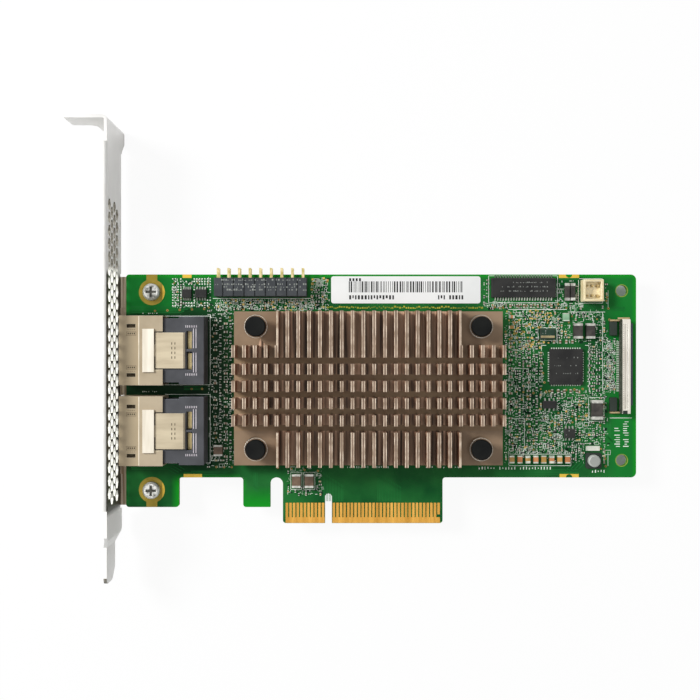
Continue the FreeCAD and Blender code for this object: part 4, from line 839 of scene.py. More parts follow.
# rib_gleam: painted reflection off the slots, on the ribs
rib_gleam = finish("slot_gleam", (214, 204, 212), (240, 234, 238), 0.3, specular=0.4, cloud_scale=500)
contact_gold = finish("contact_gold", (190, 168, 112), (214, 194, 140), 0.35, metallic=0.4, specular=0.4,
                      cloud_scale=260, stretch=(1, 0.3, 1))
for name in ("upper", "lower"):
    cage_low, cage_high = corners("cable_cage_" + name)
    body_high = corners("cable_housing_" + name)[1]
    middle = (cage_low.y + cage_high.y) / 2
    flap_from = cage_low.x + FLAP_FROM_MOUTH
    bm = edged_copy("cable_cage_" + name, EDGE_BREAK, above=cage_high.z - SHELL_TOP_DEPTH)
    for face in bm.faces:
        centre = face.calc_center_bounds()
        if face.material_index == 0 and face.normal.z > 0.5:
            if centre.z > cage_high.z - LATCH_SKIN:
                face.material_index = 3
            elif centre.x > flap_from and abs(centre.y - middle) < FLAP_HALF:
                face.material_index = 2
    show("cage_" + name, bm, [tin, tin_edge, tin_flap, tin_latch], "tin_shell", ["cable_cage_" + name])
    bm = edged_copy("cable_housing_" + name, EDGE_BREAK, above=body_high.z - HOUSING_TOP_DEPTH)
    show("housing_" + name, bm, [slate, slate_edge], "slate_plastic", ["cable_housing_" + name])
    paint("cable_contacts_" + name, contact_gold)
    bm = bmesh.new()
    top = body_high.z
    proud = (top - SUNK, top + TICK_PROUD)
    for from_back in RIB_FROM_BACK:
        x = body_high.x - from_back * MM
        for span in RIB_SPANS:
            block(bm, (x - RIB_WIDTH / 2, x + RIB_WIDTH / 2), (middle + span[0], middle + span[1]),
                  (top - SUNK, top + RIB_PROUD), 1)
    for span in WINDOW_SPANS:
        x = [body_high.x - value * MM for value in WINDOW_FROM_BACK]
        y = [middle + value * MM for value in span]
        block(bm, x, y, WINDOW_PLATE_Z)
        ridge = x[0] + RIDGE_FROM
        block(bm, (ridge, ridge + RIDGE_WIDTH), y, (WINDOW_PLATE_Z[1], WINDOW_PLATE_Z[1] + RIDGE_HEIGHT))
    for side in (-1, 1):
        y = middle + side * TICK_REACH
        for place in range(TICK_COUNT):
            x = body_high.x - TICK_FROM_BACK + place * TICK_STEP * MM
            block(bm, (x, x + TICK_WIDTH), (y - TICK_HALF, y + TICK_HALF), proud, 1)
    show("housing_fittings_" + name, bm, [contact_gold, rib_gleam], "gold")
    # Painted shade in the latch windows and in the stamped hollows beside them, a painted highlight along
    # the fold, and a row of plain marks on the flap, dark with painted shade
    bm = bmesh.new()
    roof = cage_high.z - ROOF_DROP + STAMP_LIFT
    step_x = cage_low.x + STEP_FROM_MOUTH
    block(bm, [step_x + value for value in FOLD_LINE], (cage_low.y + FOLD_INSET, cage_high.y - FOLD_INSET),
          (roof, roof + FOLD_HEIGHT), 2)
    window = [cage_low.x + value for value in WINDOW_FROM_MOUTH]
    for side in (-1, 1):
        y = middle + side * WINDOW_REACH
        mark(bm, window, (y - WINDOW_HALF, y + WINDOW_HALF), roof - WINDOW_SUNK, 0)
        y = middle + side * STAMP_REACH
        y_small = middle + side * (WINDOW_REACH + STAMP_REACH) / 2
        stamped = [edge + value for edge, value in zip(window, STAMP_PAST_WINDOW)]
        outline(bm, stamped, [y + value for value in STAMP_SPAN], roof, STAMP_LINE, 1)
        for step in range(DENT_COUNT):
            x = window[0] + (DENT_FIRST + step * DENT_STEP) * MM
            mark(bm, (x, x + 0.3 * MM), [y + value for value in DENT_SPAN], roof, 0)
            mark(bm, (x, x + 0.32 * MM), (y_small - SMALL_DENT_HALF, y_small + SMALL_DENT_HALF), roof, 1)
    flap_top = cage_high.z - FLAP_DROP + STAMP_LIFT
    for place in range(DENT_COUNT):
        y = middle + (place - (DENT_COUNT - 1) / 2) * DENT_PITCH * MM
        for offset in DENT_PAIR:
            x = body_high.x - DENT_FROM_BACK + offset * MM
            mark(bm, (x, x + FLAP_DENT_WIDTH), [y + value for value in FLAP_DENT], flap_top, 0)
    show("cage_stamping_" + name, bm, [tin_shadow, tin_dent, tin_edge], "tin_shell")

# The pin header on the top edge: square gold-plated pins, bent at a right angle and pressed into a dark
# moulded block with faint marks on its top.
HEADER_MARK_ROWS = ((0.84, 44), (0.60, 40), (0.46, 34), (0.30, 40))
MARK_WIDTHS = (0.15, 0.5)
MARK_HEIGHTS = (0.12, 0.55)
MARK_GAP_SHARE = 0.45
MARK_LIFT = 0.01 * MM
header_mould = finish("header_mould", (64, 67, 70), (76, 79, 82), 0.55, specular=0.05, cloud_scale=200)
# header_edge: painted highlight on the block's broken edges
header_edge = finish("header_edge", (68, 71, 74), (82, 85, 88), 0.5, specular=0.05)
faint_print = finish("faint_print", (122, 126, 122), (156, 160, 154), 0.6, specular=0.05, cloud_scale=700)
pin_plating = finish("pin_plating", (184, 168, 104), (226, 208, 160), 0.4, metallic=0.2, specular=0.3,
                     cloud_scale=900)
paint("pin_header_pins", pin_plating)
header_low, header_high = corners("pin_header_body")
header_width, header_depth = header_high.x - header_low.x, header_high.y - header_low.y
show("header_block", edged_copy("pin_header_body", 0.06 * MM), [header_mould, header_edge], "black_plastic",
     ["pin_header_body"])
picks = random.Random(41)
bm = bmesh.new()
for share, count in HEADER_MARK_ROWS:
    y = header_low.y + header_depth * share
    for place in range(count):
        if picks.random() < MARK_GAP_SHARE:
            continue
        x = header_low.x + header_width * (place + 0.5) / count
        mark(bm, (x, x + picks.uniform(*MARK_WIDTHS) * MM), (y, y + picks.uniform(*MARK_HEIGHTS) * MM),
             header_high.z + MARK_LIFT)
show("header_marks", bm, [faint_print], "black_plastic")

# The label: white coated paper with rounded corners, printed in black with one row of plain bars and two
# rows of small blocks, and stuck flat on the board.
BAR_SPAN = (4.9, 36.3)
BAR_ROWS = (3.05, 6.1)
BAR_WIDTHS = (0.14, 0.14, 0.28, 0.42)
BAR_GAPS = (0.22, 0.3, 0.44)
BLOCK_ROWS = ((1.1, 2.25, 5.0, 17.4), (1.1, 2.25, 29.6, 36.2))
BLOCK_WIDTHS = (0.34, 0.6)
BLOCK_GAP = 0.36 * MM
BLOCK_SHARE = 0.88
BLOCK_FEET = (0, 0, 0.3)
TOP_BLOCKS = 4
TOP_BLOCKS_BELOW_EDGE = (1.35 * MM, 0.55 * MM)
LABEL_PRINT_LIFT = 0.008 * MM
paper = finish("label_paper", (232, 234, 233), (242, 243, 242), 0.55, specular=0.1, cloud_scale=60)
ink = finish("label_ink", (36, 36, 38), (54, 54, 56), 0.6, specular=0.1, cloud_scale=300)
paint("label", paper)
label_low, label_high = corners("label")
print_z = label_high.z + LABEL_PRINT_LIFT
bar_feet = [label_low.y + value * MM for value in BAR_ROWS]
bm = bmesh.new()
picks = random.Random(7)
x = label_low.x + BAR_SPAN[0] * MM
while x < label_low.x + BAR_SPAN[1] * MM:
    width = picks.choice(BAR_WIDTHS) * MM
    mark(bm, (x, x + width), bar_feet, print_z)
    x += width + picks.choice(BAR_GAPS) * MM
for low, high, first, last in BLOCK_ROWS:
    x = label_low.x + first * MM
    while x < label_low.x + last * MM:
        width = picks.uniform(*BLOCK_WIDTHS) * MM
        if picks.random() < BLOCK_SHARE:
            foot = label_low.y + (low + picks.choice(BLOCK_FEET)) * MM
            mark(bm, (x, x + width), (foot, label_low.y + high * MM), print_z)
        x += width + BLOCK_GAP
for place in range(TOP_BLOCKS):
    x = label_low.x + (5.0 + place * 0.9) * MM
    mark(bm, (x, x + 0.55 * MM), [label_high.y - value for value in TOP_BLOCKS_BELOW_EDGE], print_z)
show("label_print", bm, [ink], "white_paper")

# Chips: packages moulded of black epoxy, with broken edges and faint marks. Their leads and pads are tinned
# copper, soldered to the board.
CHIP_MARK_ROWS = (0.74, 0.22, 3)
CHIP_MARK_SPAN = (0.14, 0.74)
CHIP_MARK_WIDTHS = (0.12, 0.3)
CHIP_MARK_HEIGHTS = (0.1, 0.4)
CHIP_MARK_LIFT = 0.006 * MM
CHIP_EDGE_WIDTH = 0.06 * MM
CHIP_TOP_DEPTH = 0.3 * MM
tinned = finish("tinned_copper", (128, 132, 124), (178, 182, 172), 0.4, metallic=0.3, specular=0.3,
                cloud_scale=900)
# chip_edge: painted highlight on the packages' broken edges
chip_edge = finish("chip_edge", (58, 60, 58), (72, 74, 70), 0.5, specular=0.05)
green_mould = finish("clock_mould", (28, 52, 40), (44, 66, 52), 0.5, specular=0.15, cloud_scale=400)
amber_band = finish("amber_band", (140, 128, 92), (168, 154, 112), 0.45, cloud_scale=500)
chips = {"memory_chip": 34, "interface_chip": 14, "gate_chip_a": 0, "gate_chip_b": 0,
         "regulator_chip": 0, "flash_chip": 3, "clock_chip": 4}
for name, marks in chips.items():
    low, high = corners(name)
    body = green_mould if name == "clock_chip" else mould
    show(name.replace("chip", "package"), edged_copy(name, CHIP_EDGE_WIDTH, above=high.z - CHIP_TOP_DEPTH),
         [body, chip_edge], "chip_black", [name])
    if not marks:
        continue
    picks = random.Random(len(name) + marks)
    bm = bmesh.new()
    for row in range(CHIP_MARK_ROWS[2]):
        y = low.y + (high.y - low.y) * (CHIP_MARK_ROWS[0] - CHIP_MARK_ROWS[1] * row)
        for place in range(marks):
            if picks.random() < 0.5:
                continue
            x = low.x + (high.x - low.x) * (CHIP_MARK_SPAN[0] + CHIP_MARK_SPAN[1] * place / marks)
            mark(bm, (x, x + picks.uniform(*CHIP_MARK_WIDTHS) * MM),
                 (y, y + picks.uniform(*CHIP_MARK_HEIGHTS) * MM), high.z + CHIP_MARK_LIFT)
    show(name + "_marks", bm, [faint_print], "chip_black")
# bright_tin: tinned copper made lighter, a painted highlight on the small pads and tails
bright_tin = finish("bright_tin", (196, 202, 190), (232, 236, 226), 0.4, specular=0.3, cloud_scale=900)
shaded_tin = finish("shaded_tin", (176, 182, 170), (214, 218, 206), 0.4, specular=0.3, cloud_scale=900)
low, high = corners("memory_chip")
up_the_chip = ramp(shaded_tin.node_tree, position(shaded_tin.node_tree)["Y"], low.y, high.y, 0.0, 0.85)
lay_over(shaded_tin, up_the_chip, (50, 78, 52))
paint("memory_leads", shaded_tin)
paint("interface_pads", bright_tin)
paint("small_chip_leads", tinned)
paint("mezzanine_tails", bright_tin)
low, high = corners("clock_chip")
bm = bmesh.new()
mark(bm, (low.x + 0.15 * MM, high.x - 0.15 * MM), (low.y + 0.35 * MM, low.y + 0.95 * MM),
     high.z + 0.007 * MM)
show("clock_chip_band", bm, [amber_band], "chip_black")

# The board-to-board socket: an ivory moulding with a slot down its length, a slate bar beside it, dark
# end blocks, and bronze hold-downs soldered to the board.
CONTACT_ROW_COUNT = 44
TONGUE_HALF = 0.24 * MM
TONGUE_Z = (2.4 * MM, 0.15 * MM)
END_WALL = 1.42 * MM
shaded_wall = finish("shaded_wall", (52, 56, 48), (92, 96, 84), 0.6, specular=0.1, cloud_scale=1600)
ivory = finish("ivory_moulding", (222, 216, 202), (240, 235, 222), 0.5, specular=0.2, cloud_scale=200)
# ivory_edge: painted highlight on the moulding's broken edges
ivory_edge = finish("ivory_edge", (246, 243, 234), (253, 251, 245), 0.45, specular=0.25)
slot_dark = finish("slot_shadow", (140, 128, 112), (172, 160, 142), 0.6, specular=0.1, cloud_scale=700)
slate_bar = finish("slate_bar", (60, 66, 80), (74, 80, 96), 0.5, specular=0.2)
dark_block = finish("dark_block", (42, 50, 44), (58, 66, 60), 0.55, specular=0.15)
bronze = finish("bronze_plate", (142, 124, 88), (176, 156, 116), 0.4, metallic=0.4, specular=0.4)
ochre = finish("ochre_contacts", (150, 128, 48), (186, 160, 70), 0.4, metallic=0.4, cloud_scale=700)
low, high = corners("mezzanine_socket")
bm = edged_copy("mezzanine_socket", 0.14 * MM)
for face in bm.faces:
    if face.normal.x < -0.6 and face.calc_center_median().x < low.x + 0.2 * MM:
        face.material_index = 2
show("mezzanine_moulding", bm, [ivory, ivory_edge, shaded_wall], "ivory_plastic", ["mezzanine_socket"])
for piece, node, width, tone, slot_name in (
        ("mezzanine_side_bar", "mezzanine_bar", 0.08, slate_bar, "dark_plastic"),
        ("mezzanine_end_blocks", "mezzanine_blocks", 0.1, dark_block, "dark_plastic"),
        ("mezzanine_hold_downs", "mezzanine_anchors", 0.08, bronze, "tan_metal")):
    show(piece, edged_copy(node, width * MM, 0), [tone], slot_name, [node])
bm = bmesh.new()
bar_low, bar_high = corners("mezzanine_bar")
for place in range(CONTACT_ROW_COUNT):
    y = bar_low.y + (bar_high.y - bar_low.y) * (place + 0.25) / CONTACT_ROW_COUNT
    mark(bm, (bar_high.x + 0.05 * MM, bar_high.x + 0.35 * MM), (y, y + 0.28 * MM), VIA_LIFT, 0)
    mark(bm, (low.x + 0.36 * MM, low.x + 0.52 * MM), (y, y + 0.22 * MM), high.z + 0.006 * MM, 1)
block(bm, (low.x - 1.1 * MM, high.x - 0.2 * MM), (high.y + 0.02 * MM, high.y + 0.5 * MM),
      (high.z - 0.55 * MM, high.z - 0.25 * MM), 2)
block(bm, (low.x + 0.25 * MM, low.x + 1.5 * MM), (low.y - 0.02 * MM, low.y + 0.9 * MM),
      (high.z - 0.1 * MM, high.z + 0.02 * MM), 3)
middle = (low.x + high.x) / 2
block(bm, (middle - TONGUE_HALF, middle + TONGUE_HALF), (low.y + END_WALL, high.y - END_WALL),
      [high.z - value for value in TONGUE_Z], 4)
show("mezzanine_contacts", bm, [ochre, slot_dark, bronze, dark_block, ivory], "tan_metal")

# The square socket of cream nylon, with six small pins; its floor and inner walls take a lighter tone,
# painted light that lifts the shade in them. The drawn metal can stands on its cut-cornered base.
cream = finish("cream_nylon", (226, 206, 156), (242, 226, 184), 0.5, specular=0.2, cloud_scale=200)
# cream_rim: painted highlight on the socket's broken edges
cream_rim = finish("cream_rim", (248, 236, 200), (254, 246, 220), 0.45, specular=0.25)
aux_pin_tone = finish("aux_pin_plating", (168, 146, 96), (198, 176, 124), 0.4, metallic=0.1)
can_finish = finish("drawn_can", (160, 164, 158), (180, 184, 178), 0.5, specular=0.2)
# drawn_can_edge: the can's sides in a lighter tone, a painted highlight
can_edge = finish("drawn_can_edge", (186, 190, 184), (206, 210, 204), 0.4, metallic=0.1, specular=0.3)
# cream_floor: lighter cream inside the socket, painted light against its shade
cream_floor = finish("cream_floor", (250, 236, 198), (255, 246, 216), 0.5, specular=0.2, cloud_scale=200)
bm = edged_copy("aux_socket", 0.12 * MM)
low, high = corners("aux_socket")
for face in bm.faces:
    centre = face.calc_center_median()
    inside = max(abs(centre.x - (low.x + high.x) / 2), abs(centre.y - (low.y + high.y) / 2))
    if face.material_index == 0 and inside < 0.47 * (high.x - low.x) and centre.z < high.z - 0.02 * MM:
        face.material_index = 2
show("aux_moulding", bm, [cream, cream_rim, cream_floor], "cream_plastic", ["aux_socket"])
paint("aux_pins", aux_pin_tone)
bm = merged_copy("metal_can")
for face in bm.faces:
    face.material_index = 0 if face.normal.z > 0.95 else 1
show("can_shell", bm, [can_finish, can_edge], "can_metal", ["metal_can"])
paint("can_base", dark_block)

# Chip parts that the solids hold: fired blocks of ceramic or ferrite. Metal caps close their two ends and
# are soldered to pads.
ceramics = {
    "tan": finish("tan_ceramic", (126, 100, 78), (150, 122, 98), 0.45, cloud_scale=500),
    "brown": finish("brown_ceramic", (92, 74, 60), (118, 96, 78), 0.45, cloud_scale=500),
    "black": finish("black_glaze", (26, 28, 28), (44, 46, 46), 0.4, specular=0.2, cloud_scale=500),
    "ferrite": finish("dark_ferrite", (52, 50, 48), (76, 72, 68), 0.5, specular=0.15, cloud_scale=500),
    "amber": finish("amber_ceramic", (166, 128, 62), (198, 156, 84), 0.45, cloud_scale=500),
    "orange": finish("orange_ceramic", (176, 112, 66), (204, 138, 88), 0.45, cloud_scale=500),
    "pale": finish("pale_ceramic", (126, 168, 134), (150, 190, 156), 0.5, cloud_scale=500),
    "white": finish("white_ceramic", (206, 208, 196), (226, 228, 216), 0.5, cloud_scale=500),
}
CAP_UNDERLAP = 0.8
CAP_PROUD_SHARE = 0.04
solder = finish("solder_ends", (160, 166, 152), (210, 214, 200), 0.4, metallic=0.2, specular=0.3,
                cloud_scale=900)
end_silver = finish("silver_ends", (150, 150, 142), (206, 206, 198), 0.4, metallic=0.2, specular=0.3,
                    cloud_scale=700)


def separate_solids(node):
    """Lowest and highest corner of each separate solid of a node."""
    bm = bmesh.new()
    bm.from_mesh(nodes[node].data)
    bmesh.ops.remove_doubles(bm, verts=bm.verts, dist=MERGE_DISTANCE)
    waiting = set(bm.verts)
    boxes = []
    while waiting:
        group = {waiting.pop()}
        front = list(group)
        while front:
            vert = front.pop()
            for edge in vert.link_edges:
                other = edge.other_vert(vert)
                if other in waiting:
                    waiting.remove(other)
                    group.add(other)
                    front.append(other)
        points = [v.co for v in group]
        boxes.append((Vector([min(p[i] for p in points) for i in range(3)]),
                      Vector([max(p[i] for p in points) for i in range(3)])))
    bm.free()
    return sorted(boxes, key=lambda box: (round(box[0].x, 6), round(box[0].y, 6)))


def chip(bm, low, high, body_index, end_index, end_share):
    """A ceramic block whose two ends, on its longer axis, are capped in metal."""
    long_axis = 0 if high.x - low.x > high.y - low.y else 1
    length = high[long_axis] - low[long_axis]
    cap = length * end_share
    spans = [[low[i], high[i]] for i in range(3)]
    inner = [list(s) for s in spans]
    inner[long_axis] = [low[long_axis] + cap * CAP_UNDERLAP, high[long_axis] - cap * CAP_UNDERLAP]
    inner[2][1] = high.z - (high.z - low.z) * CAP_PROUD_SHARE
    block(bm, *inner, body_index)
    for end in ((low[long_axis], low[long_axis] + cap), (high[long_axis] - cap, high[long_axis])):
        capped = [list(s) for s in spans]
        capped[long_axis] = list(end)
        block(bm, *capped, end_index)


ON_COMPONENT_SIDE = -0.001 * MM
CHIP_GROUPS = [
    # node, its two bodies, metal of its ends, share of the length that each end takes, slot
    ("output_capacitors", "amber", "orange", solder, (0.14, 0.3, 0.2), "amber_ceramic"),
    ("bulk_capacitors", "brown", "brown", end_silver, (0.16,), "brown_ceramic"),
    ("power_inductors", "ferrite", "ferrite", end_silver, (0.16,), "dark_ferrite"),
    ("crystal", "pale", "pale", solder, (0.12,), "pale_ceramic"),
    ("resistor_array", "white", "white", solder, (0.12,), "white_ceramic"),
    ("signal_capacitors", "tan", "brown", solder, (0.22,), "brown_ceramic"),
    ("signal_resistors", "black", "black", solder, (0.22,), "black_ceramic"),
    ("underside_capacitors", "tan", "brown", solder, (0.22,), "brown_ceramic"),
]
taken = []
for node, first, second, ends, shares, slot_name in CHIP_GROUPS:
    bm = bmesh.new()
    for place, (low, high) in enumerate(separate_solids(node)):
        chip(bm, low, high, place % 2, 2, shares[place % len(shares)])
        if low.z > ON_COMPONENT_SIDE:
            taken.append((low.x, high.x, low.y, high.y))
    show(node + "_dressed", bm, [ceramics[first], ceramics[second], ends], slot_name, [node])

# The smallest parts: hundreds of resistors, capacitors and bare pads that fill the board between the
# larger ones, too small for the solids. They lie in loose rows, soldered flat, with white ticks by them.
PART_ZONES = [
    # left, right, low, high in mm, row pitch x, row pitch y, share filled
    (-33.6, -26.1, 15.2, 61.4, 0.98, 0.9, 0.62),
    (-31.4, -3.6, 59.0, 62.2, 0.95, 0.8, 0.96),
    (-43.2, -32.2, 59.6, 68.0, 0.94, 0.82, 0.86),
    (-4.9, 0.0, 59.2, 68.2, 0.95, 0.86, 0.95),
    (42.6, 45.0, 59.6, 68.3, 0.95, 0.9, 0.7),
    (48.6, 77.6, 16.6, 59.2, 0.97, 0.84, 0.93),
    (62.6, 70.6, 59.2, 68.0, 0.95, 0.86, 0.85),
    (75.5, 77.6, 59.4, 67.0, 0.95, 0.9, 0.7),
    (45.0, 62.6, 59.2, 61.2, 0.95, 0.85, 0.8),
    (-11.6, -1.2, 7.6, 15.4, 0.98, 0.88, 0.62),
    (76.4, 80.0, 36.0, 51.2, 0.62, 0.8, 0.85),
]
SMALL_LENGTH = 0.74 * MM
SMALL_WIDTH = 0.40 * MM
SMALL_HEIGHT = 0.3 * MM
SMALL_END_SHARE = 0.26
BARE_PAD = 0.24 * MM
THIN_STROKE = 0.06 * MM
COLUMN_DRIFT = 0.08
ROW_DRIFT = 0.06
UPRIGHT_SHARE = 0.45
SAME_TURN_SHARE = 0.8
STROKE_REACH = (0.3, 0.26)
STROKE_LENGTHS = (0.16, 0.5)
SMALL_VIA = (0.26 * MM, 0.11 * MM)
CHIPS_BELOW = 0.30
BARE_PADS_BELOW = 0.50
STROKES_BELOW = 0.965
CLEAR = 0.1 * MM
CHIP_MARGIN = 1.25 * MM
clear_nodes = ["interface_chip", "interface_pads", "memory_chip", "memory_leads", "gate_chip_a",
               "gate_chip_b", "regulator_chip", "flash_chip", "clock_chip", "aux_socket", "can_base",
               "mezzanine_socket", "heat_sink", "pin_header_body", "label", "cable_housing_upper",
               "cable_housing_lower", "edge_contacts_front"]
keep_out = list(taken)
for node in clear_nodes:
    low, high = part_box(node)
    around = CHIP_MARGIN if node == "interface_chip" else 0
    keep_out.append((low[0] - around, high[0] + around, low[1] - around, high[1] + around))
for node in ("small_chip_leads", "mezzanine_anchors", "mezzanine_blocks", "mezzanine_tails",
             "ground_pads"):
    keep_out += [(low.x, high.x, low.y, high.y) for low, high in separate_solids(node)]


def is_free(x, y, half_x, half_y):
    """Whether a small part at a place clears everything that stands on the board."""
    return all(x + half_x + CLEAR < left or x - half_x - CLEAR > right
               or y + half_y + CLEAR < low or y - half_y - CLEAR > high
               for left, right, low, high in keep_out)


def about(middle, sides):
    """The two values of x and of y that a patch of a size has about its middle."""
    return [(place - side / 2, place + side / 2) for place, side in zip(middle, sides)]


silk = finish("silkscreen_ink", (222, 232, 220), (248, 252, 244), 0.6, specular=0.15, cloud_scale=400)
pad_tin = finish("bare_pad", (176, 184, 168), (214, 220, 204), 0.4, metallic=0.3, cloud_scale=700)
picks = random.Random(1967)
parts_bm = bmesh.new()
print_bm = bmesh.new()
for left, right, low, high, pitch_x, pitch_y, filled in PART_ZONES:
    columns = int((right - left) / pitch_x)
    rows = int((high - low) / pitch_y)
    for column in range(columns):
        upright = picks.random() < UPRIGHT_SHARE
        for row in range(rows):
            x = (left + (column + 0.5) * pitch_x + picks.uniform(-COLUMN_DRIFT, COLUMN_DRIFT)) * MM
            y = (low + (row + 0.5) * pitch_y + picks.uniform(-ROW_DRIFT, ROW_DRIFT)) * MM
            turned = upright if picks.random() < SAME_TURN_SHARE else not upright
            half_x = (SMALL_WIDTH if turned else SMALL_LENGTH) / 2
            half_y = (SMALL_LENGTH if turned else SMALL_WIDTH) / 2
            if picks.random() > filled or not is_free(x, y, half_x, half_y):
                continue
            kind = picks.random()
            if kind < CHIPS_BELOW:
                corner_low = Vector((x - half_x, y - half_y, 0))
                corner_high = Vector((x + half_x, y + half_y, SMALL_HEIGHT * picks.uniform(0.7, 1.2)))
                body = picks.choice((0, 0, 0, 0, 1, 2, 2, 3))
                chip(parts_bm, corner_low, corner_high, body, 4, SMALL_END_SHARE)
            elif kind < BARE_PADS_BELOW:
                for side in (-BARE_PAD, BARE_PAD):
                    pad = (x, y + side) if turned else (x + side, y)
                    mark(print_bm, *about(pad, (BARE_PAD, BARE_PAD)), VIA_LIFT, 1)
            elif kind < STROKES_BELOW:
                for _ in range(picks.choice((1, 2, 2, 3))):
                    centre = [value + picks.uniform(-reach, reach) * MM
                              for value, reach in zip((x, y), STROKE_REACH)]
                    sides = (picks.uniform(*STROKE_LENGTHS) * MM, THIN_STROKE)
                    if picks.random() < 0.5:
                        sides = sides[::-1]
                    mark(print_bm, *about(centre, sides), VIA_LIFT)
            else:
                # A small via: a ring, and a dark disc of painted shade for its hole
                disc(print_bm, x, y, VIA_LIFT, SMALL_VIA[0], 8, 2)
                disc(print_bm, x, y, VIA_LIFT + HOLE_LIFT, SMALL_VIA[1], 6, 3)
show("smallest_parts", parts_bm, [ceramics["black"], ceramics["tan"], ceramics["brown"], ceramics["amber"],
                                  solder], "black_ceramic")
show("pads_and_ticks", print_bm, [silk, pad_tin, via_gold, hole_dark], "white_ceramic")

# Silkscreen: white epoxy ink printed on the mask. Frames go round the larger parts, with rows of short
# plain strokes beside them, a grid of dots by the gate chips and bare gold pads between the strokes.
LINE = 0.12 * MM
BOX_LINE = 0.09 * MM
PRINT_STEP = 0.002 * MM
DOT_LIFT = 0.003 * MM
GAP_SIDES = ((0.35, 1.1), (0.3, 0.9))
STROKE_SIDES = ((0.2, 0.85), (0.07, 0.12))
BOX_SIDES = ((0.9, 1.7), (0.7, 1.4))
GOLD_PAD_SIDES = ((0.3, 0.75), (0.3, 0.6))
PAD_SHOWN = 0.95 * MM
PAD_OVERLAP = 0.02 * MM
WIDEST_PAD = 6 * MM
EDGE_NEAR = 0.3 * MM
DOTS_FROM = (-43.1 * MM, 60.3 * MM)
DOT_STEP = 0.74 * MM
DOT_COLUMNS = 15
DOT_ROWS = 11
DOT_HALF = 0.16 * MM
DOT_SHARE = 0.8
FRAME_FROM = 6.2 * MM
FRAME_BEYOND = 0.5 * MM
FRAME_GAP = 0.3 * MM
FRAME_SIDE_GAP = 0.45 * MM
GOLD_PAD_ZONES = [
    # left, right, low, high in mm, pads
    (48.8, 62.0, 48.0, 59.0, 95),
    (-4.7, 0.2, 59.2, 68.0, 14),
    (-31.0, -4.0, 59.0, 62.0, 26),
    (49.2, 76.0, 19.4, 34.0, 26),
    (66.0, 71.0, 36.0, 48.0, 14),
]
UNDER_LABEL = (-2.0 * MM, 42.6 * MM, 59.45 * MM)
small_gold = finish("small_gold_pad", (176, 140, 54), (222, 190, 104), 0.4, specular=0.3, cloud_scale=900)
yellow_ink = finish("yellow_ink", (112, 128, 44), (196, 184, 62), 0.6, specular=0.1, cloud_scale=120)
# dark_gap: dark patches under the strokes, partly gaps in the copper under the mask, partly painted shade
# between the parts
gap_and_shade = finish("dark_gap", (10, 38, 24), (20, 56, 34), 0.5, specular=0.06, cloud_scale=900)
pad_cover = finish("mask_over_pad", (18, 96, 40), (26, 112, 48), 0.42, specular=0.06)
STROKE_ZONES = [
    # left, right, low, high in mm, strokes, boxes
    (49.2, 64.4, 33.0, 59.0, 620, 46),
    (49.2, 66.5, 19.4, 33.0, 420, 34),
    (66.5, 77.6, 19.4, 59.0, 330, 22),
    (77.4, 80.2, 36.0, 50.6, 150, 8),
    (-33.4, -26.2, 15.6, 58.6, 300, 16),
    (-31.0, -4.0, 59.0, 62.0, 190, 14),
    (-4.7, 0.2, 59.2, 68.0, 90, 7),
    (-43.4, -32.2, 59.8, 68.0, 36, 3),
    (43.0, 70.4, 59.2, 61.4, 110, 8),
    (62.8, 70.2, 61.4, 68.0, 60, 4),
    (-11.4, -1.6, 7.8, 15.2, 60, 4),
]
FRAMES = [
    # left, right, low, high in mm
    (44.3, 63.5, 61.0, 68.6),
    (69.2, 76.0, 60.9, 67.8),
    (49.9, 67.2, 15.9, 19.2),
    (58.0, 63.2, 50.6, 54.2),
    (72.0, 76.4, 28.2, 34.9),
    (-10.5, -7.3, 9.3, 14.2),
    (-6.9, -3.7, 9.3, 14.2),
]
LONG_LINES = [
    # x from, x to, y from, y to in mm
    (-32.0, -4.9, 62.2, 62.35),
    (49.8, 66.0, 59.15, 59.3),
    (75.85, 75.97, 36.6, 58.5),
    (66.3, 76.6, 58.45, 58.57),
    (55.35, 55.47, 36.6, 42.8),
    (51.2, 55.4, 42.8, 42.92),
    (63.4, 63.5, 50.5, 53.5),
    (54.25, 54.37, 20.2, 29.0),
    (49.4, 54.3, 29.0, 29.12),
    (69.9, 70.0, 17.8, 20.8),
    (58.9, 60.3, 49.2, 49.35),
    (58.9, 59.05, 47.8, 49.35),
    (71.1, 72.3, 49.2, 49.35),
    (72.15, 72.3, 36.4, 49.35),
    (77.9, 84.0, 29.1, 29.25),
    (77.35, 77.45, 15.9, 19.8),
    (77.4, 77.5, 59.2, 64.6),
]
ROW_GAP_SHARE = 0.12
ROW_WIDTHS = (0.24, 0.42)
ROW_ENDS = (0, 0, 0.28)
STROKE_ROWS = [
    # first x, y, stroke height, strokes, step in mm, upright
    (4.0, 15.3, 0.5, 22, 0.62, False),
    (27.0, 15.3, 0.5, 12, 0.8, False),
    (41.6, 14.9, 0.75, 25, 0.82, False),
    (72.2, 14.0, 0.8, 6, 0.8, False),
    (79.2, 21.2, 1.5, 9, 0.62, True),
    (81.6, 21.2, 1.5, 12, 0.62, True),
    (-51.5, 58.0, 0.3, 8, 0.55, False),
    (-51.5, 36.3, 0.3, 8, 0.55, False),
]


def strewn(zone, count, ranges, may_turn=False):
    """Random patches in a zone, in mm, that clear what stands on the board."""
    for _ in range(count):
        sides = [picks.uniform(*reach) * MM for reach in ranges]
        if may_turn and picks.random() < 0.5:
            sides.reverse()
        middle = [picks.uniform(*reach) * MM for reach in (zone[:2], zone[2:])]
        if is_free(*middle, sides[0] / 2, sides[1] / 2):
            yield about(middle, sides)


